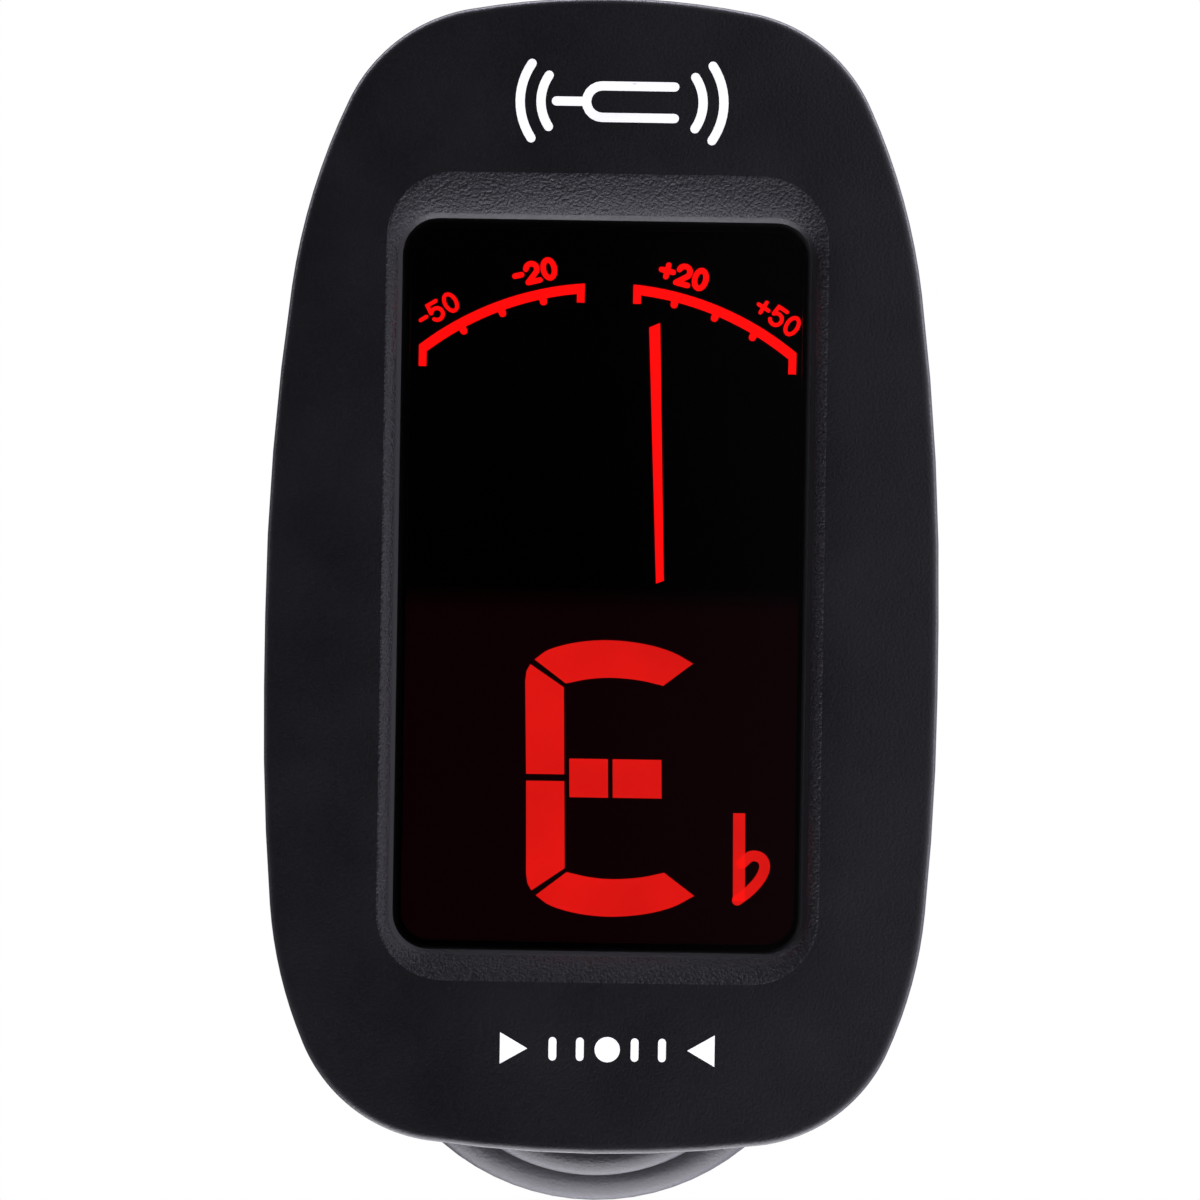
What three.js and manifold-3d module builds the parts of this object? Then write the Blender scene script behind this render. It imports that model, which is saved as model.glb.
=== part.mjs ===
// Clip-on instrument tuner: a display head on a tilt hinge and a swivel, folded up in front of a clip.
// Millimetres, +Z up. The display faces -Y and +X is on the viewer's right.
// The origin is the middle of the front jaw pad's gripping face.
// Inside the head group, y is the depth behind the front's highest point and z the height above its lowest.

import * as THREE from "three";
import { mergeVertices } from "three/addons/utils/BufferGeometryUtils.js";
import Module from "manifold-3d";

const wasm = await Module();
wasm.setup();

// Driving dimensions.
const head = {
  width: 31,
  height: 53,
  depth: 12,
  wall: 1.4,
  split: 7,
  frontEdge: 0.25,
  backRound: 3,
  crownRadius: 150,
  cavityFront: 3.1,
  cavityBack: 10.4,
};
const lens = {
  width: 18.9,
  height: 33.6,
  corner: 1.75,
  middle: 26.04,
  front: 1,
  thickness: 1.1,
  ledge: 0.45,
};
const bezel = { side: 0.6, top: 2.3, bottom: 1.57, corner: 3, depth: 0.1 };
const board = { front: 6.4, back: 7.2, bottom: 7.2 };
const cell = { radius: 10, front: 7.6, back: 10.8, middle: 31.7 };
const door = { halfWidth: 10.6, tongue: 0.6, bottom: 20.4, front: 11.1, tongueDepth: 0.4 };
const button = { radius: 2.75, height: 16, proud: 0.4 };
const screws = [
  [-8.3, 47.3],
  [8.3, 47.3],
  [-9, 4.7],
  [9, 4.7],
];
const tilt = { depth: 15, height: 3, radius: 2.5, pinRadius: 0.9 };
const swivel = { radius: 8.9, height: 6.6, front: 18.4, thickness: 2.2, postRadius: 2.4 };
const clip = {
  halfWidth: 11.4,
  tipCorner: 6,
  top: 7,
  bottom: -37.7,
  frontOuter: -4.5,
  frontInner: -1.5,
  rearInner: 3.6,
  throatInner: 7.2,
  leverInner: 10.5,
  plate: 2.6,
};
const pad = { halfWidth: 9.4, halfHeight: 6.2, corner: 2.5, gap: 2.1 };
const pivot = { y: 2.7, z: -21, earRadius: 2.6, pinRadius: 1.2 };
const pivotEars = { frontInner: 8.2, frontOuter: 10, rearInner: 6, rearOuter: 7.8 };
const coil = { radius: 2.4, wire: 0.45, turns: 4.5, pitch: 1.02, legReach: 12 };
const slack = 0.05;
const roundSteps = 28;

// Where the head group stands in the part's own frame.
const headDepthAtOrigin = 25.4;
const headHeightAtOrigin = 34;

const materials = {
  blackPlastic: new THREE.MeshStandardMaterial({ color: 0x1f1f23, roughness: 0.55 }),
  darkLens: new THREE.MeshStandardMaterial({ color: 0x050505, roughness: 0.06 }),
  glass: new THREE.MeshStandardMaterial({ color: 0x3a0f10, roughness: 0.1 }),
  whitePlastic: new THREE.MeshStandardMaterial({ color: 0xe8e6e0, roughness: 0.5 }),
  redLamp: new THREE.MeshStandardMaterial({ color: 0xd8342a, roughness: 0.3 }),
  boardGreen: new THREE.MeshStandardMaterial({ color: 0x14502c, roughness: 0.45 }),
  chipBlack: new THREE.MeshStandardMaterial({ color: 0x18181a, roughness: 0.6 }),
  steel: new THREE.MeshStandardMaterial({ color: 0xb9bcc0, roughness: 0.3, metalness: 1 }),
  brass: new THREE.MeshStandardMaterial({ color: 0xc9a24a, roughness: 0.35, metalness: 1 }),
  ceramic: new THREE.MeshStandardMaterial({ color: 0xd8d6cc, roughness: 0.6 }),
  rubber: new THREE.MeshStandardMaterial({ color: 0x2a2a2c, roughness: 0.9 }),
  tape: new THREE.MeshStandardMaterial({ color: 0x101010, roughness: 0.8 }),
  redWire: new THREE.MeshStandardMaterial({ color: 0xb01818, roughness: 0.5 }),
  blackWire: new THREE.MeshStandardMaterial({ color: 0x141414, roughness: 0.5 }),
};

// Solids and their joins and cuts.

function toSolid(shape) {
  if (!shape.isBufferGeometry) return shape;
  const bare = shape.clone();
  bare.deleteAttribute("normal");
  bare.deleteAttribute("uv");
  const merged = mergeVertices(bare, 1e-4);
  const mesh = new wasm.Mesh({
    numProp: 3,
    vertProperties: merged.attributes.position.array,
    triVerts: new Uint32Array(merged.index.array),
  });
  return new wasm.Manifold(mesh);
}

function join(...shapes) {
  return shapes.map(toSolid).reduce((whole, piece) => whole.add(piece));
}

function cut(shape, ...tools) {
  return tools.map(toSolid).reduce((whole, tool) => whole.subtract(tool), toSolid(shape));
}

function common(...shapes) {
  return shapes.map(toSolid).reduce((whole, piece) => whole.intersect(piece));
}

function toGeometry(shape) {
  if (shape.isBufferGeometry) return shape;
  const mesh = shape.getMesh();
  const geometry = new THREE.BufferGeometry();
  geometry.setAttribute("position", new THREE.BufferAttribute(mesh.vertProperties, 3));
  geometry.setIndex(new THREE.BufferAttribute(mesh.triVerts, 1));
  geometry.computeVertexNormals();
  return geometry;
}

// Turns the faces of a closed geometry outwards, whichever way its profile ran.
function outward(geometry) {
  const at = geometry.attributes.position;
  const index = geometry.index.array;
  const corners = [new THREE.Vector3(), new THREE.Vector3(), new THREE.Vector3()];
  let volume = 0;
  for (let i = 0; i < index.length; i += 3) {
    corners.forEach((corner, k) => corner.fromBufferAttribute(at, index[i + k]));
    volume += corners[0].dot(corners[1].clone().cross(corners[2]));
  }
  if (volume < 0) index.reverse();
  return geometry;
}

// Basic shapes.

function block([x0, x1], [y0, y1], [z0, z1]) {
  const geometry = new THREE.BoxGeometry(x1 - x0, y1 - y0, z1 - z0);
  return geometry.translate((x0 + x1) / 2, (y0 + y1) / 2, (z0 + z1) / 2);
}

function outlineShape(points) {
  return new THREE.Shape(points.map(([a, b]) => new THREE.Vector2(a, b)));
}

// A shape drawn in x and z, run through from y0 to y1.
function prism(shape, y0, y1, options = {}) {
  const settings = { depth: y1 - y0, bevelEnabled: false, curveSegments: 6, ...options };
  return new THREE.ExtrudeGeometry(shape, settings).rotateX(Math.PI / 2).translate(0, y1, 0);
}

// A shape drawn in y and z, run through from x0 to x1.
function sidePrism(shape, x0, x1) {
  const settings = { depth: x1 - x0, bevelEnabled: false, curveSegments: 10 };
  const turn = new THREE.Matrix4().set(0, 0, 1, x0, 1, 0, 0, 0, 0, 1, 0, 0, 0, 0, 0, 1);
  return new THREE.ExtrudeGeometry(shape, settings).applyMatrix4(turn);
}

// A body of revolution about the y direction. The profile lists [radius, y].
function turned(profile, x, z, steps = roundSteps) {
  const points = profile.map(([radius, y]) => new THREE.Vector2(radius, y));
  return outward(new THREE.LatheGeometry(points, steps)).translate(x, 0, z);
}

function disc(radius, y0, y1, x, z, steps = roundSteps) {
  return turned([[0, y0], [radius, y0], [radius, y1], [0, y1]], x, z, steps);
}

function ring(inner, outer, y0, y1, x, z) {
  return turned([[inner, y0], [outer, y0], [outer, y1], [inner, y1], [inner, y0]], x, z);
}

function rodAlongX(radius, x0, x1, y, z, steps = roundSteps) {
  const geometry = new THREE.CylinderGeometry(radius, radius, x1 - x0, steps);
  return geometry.rotateZ(Math.PI / 2).translate((x0 + x1) / 2, y, z);
}

function roundedPoints(halfWidth, z0, z1, corner, steps = 5) {
  const centres = [
    [halfWidth - corner, z1 - corner],
    [corner - halfWidth, z1 - corner],
    [corner - halfWidth, z0 + corner],
    [halfWidth - corner, z0 + corner],
  ];
  return centres.flatMap(([x, z], quarter) =>
    Array.from({ length: steps + 1 }, (_, k) => {
      const angle = ((quarter + k / steps) * Math.PI) / 2;
      return [x + corner * Math.cos(angle), z + corner * Math.sin(angle)];
    }),
  );
}

function roundedShape(halfWidth, z0, z1, corner) {
  return outlineShape(roundedPoints(halfWidth, z0, z1, corner));
}

// A closed skin over rings of equal length, each { y, points }: points are [x, z], anticlockwise from -y.
function loft(rings) {
  const count = rings[0].points.length;
  const positions = rings.flatMap(({ y, points }) => points.flatMap(([x, z]) => [x, y, z]));
  const index = [];
  for (let r = 0; r + 1 < rings.length; r++) {
    for (let i = 0; i < count; i++) {
      const a = r * count + i;
      const b = r * count + ((i + 1) % count);
      index.push(a, b, b + count, a, b + count, a + count);
    }
  }
  const cap = THREE.ShapeUtils.triangulateShape(
    rings[0].points.map(([x, z]) => new THREE.Vector2(x, z)),
    [],
  );
  const last = (rings.length - 1) * count;
  cap.forEach(([a, b, c]) => index.push(a, c, b, last + a, last + b, last + c));
  const geometry = new THREE.BufferGeometry();
  geometry.setAttribute("position", new THREE.Float32BufferAttribute(positions, 3));
  geometry.setIndex(index);
  return outward(geometry);
}

// The head's outline: tangent arcs [radius, turn in degrees] from the middle of an end out to the side.
// A last arc finishes the quarter turn at the widest point.
const topArcs = [
  [36, 10.4],
  [7.6, 54.5],
  [29, 17.6],
];
const bottomArcs = [
  [60, 7.3],
  [7.4, 59],
  [20, 18.8],
];

function endRun(arcs, inset) {
  const sag = 0.04;
  const turns = arcs.map(([, turn]) => THREE.MathUtils.degToRad(turn));
  const swept = turns.reduce((sum, turn) => sum + turn, 0);
  let reach = 0;
  arcs.forEach(([radius], i) => {
    const from = turns.slice(0, i).reduce((sum, turn) => sum + turn, 0);
    reach += radius * (Math.sin(from + turns[i]) - Math.sin(from));
  });
  const lastRadius = (head.width / 2 - reach) / (1 - Math.sin(swept));
  const chain = [...arcs.map(([radius], i) => [radius, turns[i]]), [lastRadius, Math.PI / 2 - swept]];
  const points = [[0, inset]];
  let heading = 0;
  for (const [radius, turn] of chain) {
    const [x, drop] = points[points.length - 1];
    const r = radius - inset;
    const centre = [x - r * Math.sin(heading), drop + r * Math.cos(heading)];
    const steps = Math.ceil(turn / (2 * Math.acos(1 - sag / radius)));
    for (let k = 1; k <= steps; k++) {
      const angle = heading + (turn * k) / steps;
      points.push([centre[0] + r * Math.sin(angle), centre[1] - r * Math.cos(angle)]);
    }
    heading += turn;
  }
  return points;
}

function headOutline(inset = 0) {
  const top = endRun(topArcs, inset).map(([x, drop]) => [x, head.height - drop]);
  const bottom = endRun(bottomArcs, inset);
  const left = [...top, ...bottom.reverse()].map(([x, z]) => [-x, z]);
  const right = left.slice(1, -1).reverse().map(([x, z]) => [-x, z]);
  return [...left, ...right];
}

// The head's outer form: crowned across the face, sharp at the front edge and well rounded at the back.
function headBlank() {
  const rings = [
    { y: 0, points: headOutline(head.frontEdge) },
    { y: head.frontEdge, points: headOutline() },
  ];
  const steps = 4;
  for (let k = 0; k <= steps; k++) {
    const angle = (k / steps) * (Math.PI / 2);
    const inset = head.backRound * (1 - Math.cos(angle));
    rings.push({ y: head.depth - head.backRound * (1 - Math.sin(angle)), points: headOutline(inset) });
  }
  return common(loft(rings), crownTool());
}

function crownTool() {
  const reach = head.width / 2 + 1;
  const steps = 10;
  const arc = Array.from({ length: steps + 1 }, (_, k) => {
    const x = reach * ((2 * k) / steps - 1);
    return [x, head.crownRadius - Math.sqrt(head.crownRadius ** 2 - x * x)];
  });
  const section = outlineShape([...arc, [reach, head.depth + 1], [-reach, head.depth + 1]]);
  const settings = { depth: head.height + 2, bevelEnabled: false };
  return new THREE.ExtrudeGeometry(section, settings).translate(0, 0, -1);
}

function headCavity(front, back) {
  return prism(outlineShape(headOutline(head.wall)), front, back);
}

function depthSlab(front, back) {
  return block([-20, 20], [front, back], [-5, head.height + 5]);
}

const lensBottom = lens.middle - lens.height / 2;
const lensTop = lens.middle + lens.height / 2;
const lensBack = lens.front + lens.thickness;
const bossRadius = { front: 1.9, rear: 2.3 };
const screwSeat = 9.5;
const screwShank = 0.75;

// Front of the head.

function bezelTool() {
  const outer = roundedPoints(
    lens.width / 2 + bezel.side,
    lensBottom - bezel.bottom,
    lensTop + bezel.top,
    bezel.corner,
  );
  const inner = roundedPoints(lens.width / 2 + slack, lensBottom - slack, lensTop + slack, lens.corner);
  return loft([
    { y: -1, points: outer },
    { y: bezel.depth, points: outer },
    { y: lens.front, points: inner },
    { y: lensBack + 0.2, points: inner },
  ]);
}

function sightShape() {
  return roundedShape(lens.width / 2 - lens.ledge, lensBottom + lens.ledge, lensTop - lens.ledge, 1.3);
}

function frontShell() {
  const window = sightShape();
  const bosses = screws.map(([x, z]) =>
    cut(
      disc(bossRadius.front, head.cavityFront - 0.5, head.split, x, z, 20),
      disc(screwShank + slack, 4, head.split + 1, x, z, 12),
    ),
  );
  const skin = cut(
    common(headBlank(), depthSlab(-1, head.split)),
    headCavity(head.cavityFront, head.split + 1),
    bezelTool(),
    prism(window, 0, head.cavityFront + 1),
  );
  return join(skin, ...bosses);
}

function displayLens() {
  const shape = roundedShape(lens.width / 2, lensBottom, lensTop, lens.corner);
  return prism(shape, lens.front, lensBack);
}

function lensTape() {
  const outer = roundedShape(lens.width / 2 - 0.1, lensBottom + 0.1, lensTop - 0.1, lens.corner);
  return cut(prism(outer, lensBack + 0.02, lensBack + 0.18), prism(sightShape(), 0, head.depth));
}

// Display stack behind the lens.

const glassSpan = { halfWidth: 9.9, bottom: 8.7, top: 43.4, front: 3.15, thickness: 0.7 };
const zebraSpan = { halfWidth: 8.5, bottom: 9.2, top: 10.8 };
const guideSpan = { halfWidth: 9.4, bottom: 11.4, top: 42.2, front: 4.75, back: 6.1 };
const ledSpan = { x: 5, halfWidth: 1.4, bottom: 42.5, top: 43.3 };

function lcdGlass(front, bottom) {
  const { halfWidth, top, thickness } = glassSpan;
  return block([-halfWidth, halfWidth], [front, front + thickness], [bottom, top]);
}

function lcdFrame() {
  const { halfWidth, bottom, top, front } = glassSpan;
  const rim = 1.4;
  const gap = 0.1;
  const side = halfWidth + gap;
  const outer = roundedShape(halfWidth + rim, bottom - rim, top + rim, 1);
  const hole = block([-side, side], [0, head.depth], [bottom - gap, top + gap]);
  return cut(prism(outer, front, board.front - slack), hole);
}

function lightGuide() {
  const { halfWidth, bottom, top, front, back } = guideSpan;
  return block([-halfWidth, halfWidth], [front, back], [bottom, top]);
}

function backlightLed(side) {
  const { x, halfWidth, bottom, top } = ledSpan;
  const middle = side * x;
  return block([middle - halfWidth, middle + halfWidth], [5.3, board.front - slack], [bottom, top]);
}

function zebraStrip() {
  const { halfWidth, bottom, top } = zebraSpan;
  const front = glassSpan.front + glassSpan.thickness + slack;
  return block([-halfWidth, halfWidth], [front, board.front - slack], [bottom, top]);
}

// Circuit board and what is soldered on it.

function circuitBoard() {
  const outline = prism(outlineShape(headOutline(head.wall + 0.4)), board.front, board.back);
  const keep = block([-20, 20], [0, head.depth], [board.bottom, head.height]);
  const notches = screws.map(([x, z]) => disc(bossRadius.rear + 0.2, 0, head.depth, x, z, 20));
  return cut(common(outline, keep), ...notches);
}

const onBoard = board.back + slack;

function tunerChip() {
  return block([-11.7, -4.7], [onBoard, onBoard + 1.2], [10.3, 17.3]);
}

function crystal() {
  const radius = 1;
  return disc(radius, 11, 17, 7.5, 0, 16)
    .rotateX(Math.PI / 2)
    .translate(0, onBoard + radius, 0);
}

function powerSwitch() {
  const half = 2.2;
  const body = block([-half, half], [onBoard, 8.75], [button.height - half, button.height + half]);
  return cut(body, disc(1.1, 7.9, 9, 0, button.height, 16));
}

function switchPlunger() {
  return disc(0.95, 8.4, 9.65, 0, button.height, 16);
}

function batteryContactPlus() {
  const halfWidth = 2.4;
  const edge = cell.middle + cell.radius + 0.15;
  const upright = block([-halfWidth, halfWidth], [onBoard, 10.2], [edge, edge + 0.25]);
  const foot = block([-halfWidth, halfWidth], [onBoard, onBoard + 0.2], [edge, edge + 2.3]);
  return join(upright, foot);
}

function batteryContactMinus() {
  const leaf = block([-1.8, 1.8], [onBoard, onBoard + 0.15], [cell.middle - 5, cell.middle + 5]);
  return join(leaf, disc(1.5, onBoard + 0.1, cell.front - 0.02, 0, cell.middle, 16));
}

function battery() {
  const rim = 0.4;
  const { radius, front, back, middle } = cell;
  const profile = [
    [0, front],
    [radius - 1.2, front],
    [radius - 1.2, front + rim],
    [radius - rim, front + rim],
    [radius, front + 2 * rim],
    [radius, back - 0.3],
    [radius - 0.3, back],
    [0, back],
  ];
  return turned(profile, 0, middle, 36);
}

// Vibration pick-up on the inside of the back wall.

const piezo = { height: 7.4, plateRadius: 4.4, ceramicRadius: 3, plateFront: 10.12, ceramicFront: 9.85 };

function piezoPlate() {
  return disc(piezo.plateRadius, piezo.plateFront, piezo.plateFront + 0.2, 0, piezo.height);
}

function piezoCeramic() {
  return disc(piezo.ceramicRadius, piezo.ceramicFront, piezo.plateFront - slack, 0, piezo.height);
}

function lead(from, to) {
  const bow = new THREE.Vector3(0, -0.4, -1.4);
  const middle = from.clone().lerp(to, 0.5).add(bow);
  const route = new THREE.CatmullRomCurve3([from, middle, to]);
  const section = new THREE.Shape().absarc(0, 0, 0.3, 0, 2 * Math.PI);
  const settings = { steps: 10, extrudePath: route, bevelEnabled: false, curveSegments: 4 };
  return new THREE.ExtrudeGeometry(section, settings);
}

function piezoLeadRed() {
  const from = new THREE.Vector3(1, piezo.ceramicFront - 0.35, piezo.height - 1);
  return lead(from, new THREE.Vector3(1.5, onBoard + 0.4, 9.6));
}

function piezoLeadBlack() {
  const from = new THREE.Vector3(-3.7, piezo.plateFront - 0.35, piezo.height - 1);
  return lead(from, new THREE.Vector3(-3.2, onBoard + 0.4, 9.6));
}

// Back of the head.

// The door's room: a broad tongue that runs out over the top end, with a rail along each side.
function doorTool(grow) {
  const { halfWidth, tongue, bottom, front, tongueDepth } = door;
  const top = head.height + 5;
  const side = halfWidth + grow;
  const corner = 2;
  const face = roundedShape(side, bottom - grow, top, corner);
  const rails = block(
    [-side - tongue, side + tongue],
    [front - grow, front + tongueDepth + grow],
    [bottom + corner - grow, top],
  );
  return join(prism(face, front - grow, head.depth + 1), rails);
}

function hingeLug(x0, x1, y, z, rootY, reach, hole) {
  const root = Math.sign(rootY - y);
  const shape = new THREE.Shape();
  shape.moveTo(rootY, z + reach);
  shape.lineTo(y, z + tilt.radius);
  shape.absarc(y, z, tilt.radius, Math.PI / 2, -Math.PI / 2, root < 0);
  shape.lineTo(rootY, z - reach);
  shape.closePath();
  return cut(sidePrism(shape, x0, x1), rodAlongX(hole, x0 - 1, x1 + 1, y, z, 20));
}

const ear = { inner: 3.3, outer: 5.5, root: 10.7 };
const barrelReach = 2.9;

function rearShell() {
  const { split, depth, cavityBack } = head;
  const cupWall = ring(cell.radius + 0.3, cell.radius + 1.1, split + 0.3, cavityBack + 0.2, 0, cell.middle);
  const contactGap = block([-3, 3], [split, cavityBack], [cell.middle + cell.radius - 2, head.height]);
  const bosses = screws.map(([x, z]) => disc(bossRadius.rear, split + slack, cavityBack + 0.3, x, z, 20));
  const ears = [-1, 1].map((side) => {
    const [x0, x1] = [side * ear.inner, side * ear.outer].sort((a, b) => a - b);
    return hingeLug(x0, x1, tilt.depth, tilt.height, ear.root, 2.4, tilt.pinRadius + slack);
  });
  const shell = cut(
    common(headBlank(), depthSlab(split + 0.02, depth + 1)),
    headCavity(split - 1, cavityBack),
  );
  const screwWays = screws.flatMap(([x, z]) => [
    disc(screwShank + 0.2, split - 1, depth + 1, x, z, 12),
    disc(1.8, screwSeat, depth + 1, x, z, 20),
  ]);
  return cut(
    join(shell, cut(cupWall, contactGap), ...bosses, ...ears),
    doorTool(0.1),
    disc(cell.radius + 0.3, cell.front, depth, 0, cell.middle, 36),
    disc(button.radius + 0.1, cavityBack - 1, depth + 1, 0, button.height),
    ...screwWays,
  );
}

function batteryDoor() {
  const grips = [0, 1, 2, 3].map((row) => {
    const z = door.bottom + 3 + row * 1.2;
    return block([-4, 4], [head.depth - 0.25, head.depth + 1], [z, z + 0.5]);
  });
  return cut(common(headBlank(), doorTool(-0.05)), ...grips);
}

function powerButton() {
  const { radius, height, proud } = button;
  const top = head.depth + proud;
  const profile = [
    [0, 9.75],
    [radius + 0.65, 9.75],
    [radius + 0.65, 10.2],
    [radius, 10.2],
    [radius, top - 0.3],
    [radius - 0.3, top],
    [0, top],
  ];
  return turned(profile, 0, height);
}

function housingScrew([x, z]) {
  const headTop = screwSeat + 1.05;
  const profile = [
    [0, 4.4],
    [0.4, 4.4],
    [screwShank, 5.2],
    [screwShank, screwSeat + 0.02],
    [1.55, screwSeat + 0.02],
    [1.55, screwSeat + 0.6],
    [1.1, headTop],
    [0, headTop],
  ];
  const slot = 0.2;
  const reach = 0.95;
  const top = headTop + 1;
  return cut(
    turned(profile, x, z, 16),
    block([x - reach, x + reach], [headTop - 0.6, top], [z - slot, z + slot]),
    block([x - slot, x + slot], [headTop - 0.6, top], [z - reach, z + reach]),
  );
}

// Tilt hinge and swivel.

function tiltPin() {
  const { depth, height, pinRadius } = tilt;
  const end = ear.outer + 0.1;
  return join(
    rodAlongX(pinRadius, -end, end, depth, height, 20),
    rodAlongX(1.5, end - slack, end + 0.5, depth, height, 20),
    rodAlongX(1.5, -end - 0.5, slack - end, depth, height, 20),
  );
}

function tiltWasher(side) {
  const [near, far] = [barrelReach + 0.08, ear.inner - 0.08];
  const [x0, x1] = [side * near, side * far].sort((a, b) => a - b);
  return cut(
    rodAlongX(2.2, x0, x1, tilt.depth, tilt.height, 20),
    rodAlongX(tilt.pinRadius + 0.1, x0 - 1, x1 + 1, tilt.depth, tilt.height, 20),
  );
}

const swivelBack = swivel.front + swivel.thickness;
const jawOuter = headDepthAtOrigin + clip.frontOuter;
const jawInner = headDepthAtOrigin + clip.frontInner;
const washerSeat = jawInner - 1.5;
const swivelPocket = 3.6;

function swivelDisc() {
  const { radius, front, height, postRadius } = swivel;
  const round = 1.2;
  const rimSteps = 4;
  const rim = Array.from({ length: rimSteps + 1 }, (_, k) => {
    const angle = (k / rimSteps) * (Math.PI / 2);
    return [radius - round + round * Math.sin(angle), front + round - round * Math.cos(angle)];
  });
  const profile = [
    [0, front],
    ...rim,
    [radius, swivelBack - 0.3],
    [radius - 0.3, swivelBack],
    [postRadius, swivelBack],
    [postRadius, washerSeat - 0.1],
    [0, washerSeat - 0.1],
  ];
  const [x0, x1, hole] = [-barrelReach, barrelReach, tilt.pinRadius + 0.07];
  const barrel = hingeLug(x0, x1, tilt.depth, tilt.height, front + 0.8, 2.9, hole);
  const screwHole = disc(0.95, swivelBack - 0.8, jawInner, 0, height, 16);
  return cut(join(turned(profile, 0, height, 40), barrel), screwHole);
}

function swivelWaveWasher() {
  return ring(3.2, 5.4, swivelBack + 0.05, jawOuter - 0.05, 0, swivel.height);
}

function swivelWasher() {
  return ring(1.1, 3.4, washerSeat + 0.02, washerSeat + 0.4, 0, swivel.height);
}

function swivelScrew() {
  const seat = washerSeat + 0.42;
  const profile = [
    [0, swivelBack - 0.6],
    [0.9, swivelBack - 0.6],
    [0.9, seat],
    [2.3, seat],
    [2.3, seat + 0.6],
    [1.8, seat + 0.95],
    [0, seat + 0.95],
  ];
  const slot = 0.3;
  const { height } = swivel;
  return cut(
    turned(profile, 0, height, 20),
    block([-1.4, 1.4], [seat + 0.45, seat + 2], [height - slot, height + slot]),
    block([-slot, slot], [seat + 0.45, seat + 2], [height - 1.4, height + 1.4]),
  );
}

// Clip. These solids stand in the part's own frame.

function clipOutline() {
  const { halfWidth, tipCorner, top, bottom } = clip;
  const shape = new THREE.Shape();
  shape.absarc(0, bottom + halfWidth, halfWidth, Math.PI, 2 * Math.PI);
  shape.absarc(halfWidth - tipCorner, top - tipCorner, tipCorner, 0, Math.PI / 2);
  shape.absarc(tipCorner - halfWidth, top - tipCorner, tipCorner, Math.PI / 2, Math.PI);
  shape.closePath();
  return shape;
}

// A pair of ears that reach from a jaw, at rootY, round the clip pin.
// A heel, if any, squares each ear's upper corner off at heelY.
function clipEars(inner, outer, rootY, heelY = null) {
  const { y, z, earRadius, pinRadius } = pivot;
  const shape = new THREE.Shape();
  shape.moveTo(rootY, z + earRadius);
  shape.lineTo(y, z + earRadius);
  shape.absarc(y, z, earRadius, Math.PI / 2, -Math.PI / 2, rootY < y);
  shape.lineTo(rootY, z - earRadius);
  shape.closePath();
  const hole = rodAlongX(pinRadius + 2 * slack, -outer - 1, outer + 1, y, z, 20);
  return [-1, 1].map((side) => {
    const [x0, x1] = [side * inner, side * outer].sort((a, b) => a - b);
    const lug = toSolid(sidePrism(shape, x0, x1));
    if (heelY === null) return cut(lug, hole);
    return cut(join(lug, block([x0, x1], [heelY, y], [z, z + earRadius])), hole);
  });
}

function frontJaw() {
  const edge = 0.9;
  const { frontOuter, frontInner } = clip;
  const plate = prism(clipOutline(), frontOuter + edge, frontInner - edge, {
    bevelEnabled: true,
    bevelThickness: edge,
    bevelSize: edge,
    bevelOffset: -edge,
    bevelSegments: 2,
    curveSegments: 20,
  });
  const swivelZ = swivel.height - headHeightAtOrigin;
  const seatY = washerSeat - headDepthAtOrigin;
  const ears = clipEars(pivotEars.frontInner, pivotEars.frontOuter, frontInner - 0.8);
  return cut(
    join(plate, ...ears),
    disc(swivel.postRadius + 0.1, frontOuter - 1, frontInner + 1, 0, swivelZ),
    disc(swivelPocket, seatY, frontInner + 0.5, 0, swivelZ),
  );
}

// Side profile of the rear jaw: a splayed lever, a bowed throat and a flat land that meets the other jaw.
function rearProfile() {
  const { rearInner, throatInner, leverInner, plate, bottom, top } = clip;
  const inner = [
    [leverInner, bottom],
    [throatInner, pivot.z - 3],
    [throatInner, -10.4],
    [rearInner, -6.6],
    [rearInner, top],
  ];
  const outer = [
    [rearInner + plate, top],
    [rearInner + plate, -5.4],
    [throatInner + plate, -9.2],
    [throatInner + plate, pivot.z - 3.4],
    [leverInner + plate, bottom],
  ];
  return outlineShape([...inner, ...outer]);
}

// The heels of its ears rest on the front jaw, which leaves the pads a little apart on the closed clip.
function rearJaw() {
  const { halfWidth, frontInner, throatInner } = clip;
  const bent = sidePrism(rearProfile(), -halfWidth, halfWidth);
  const outline = prism(clipOutline(), -1, 20, { curveSegments: 20 });
  const heel = frontInner + 0.1;
  const ears = clipEars(pivotEars.rearInner, pivotEars.rearOuter, throatInner + 0.5, heel);
  return join(common(bent, outline), ...ears);
}

function jawPad(y0, y1) {
  return prism(roundedShape(pad.halfWidth, -pad.halfHeight, pad.halfHeight, pad.corner), y0, y1);
}

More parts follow.
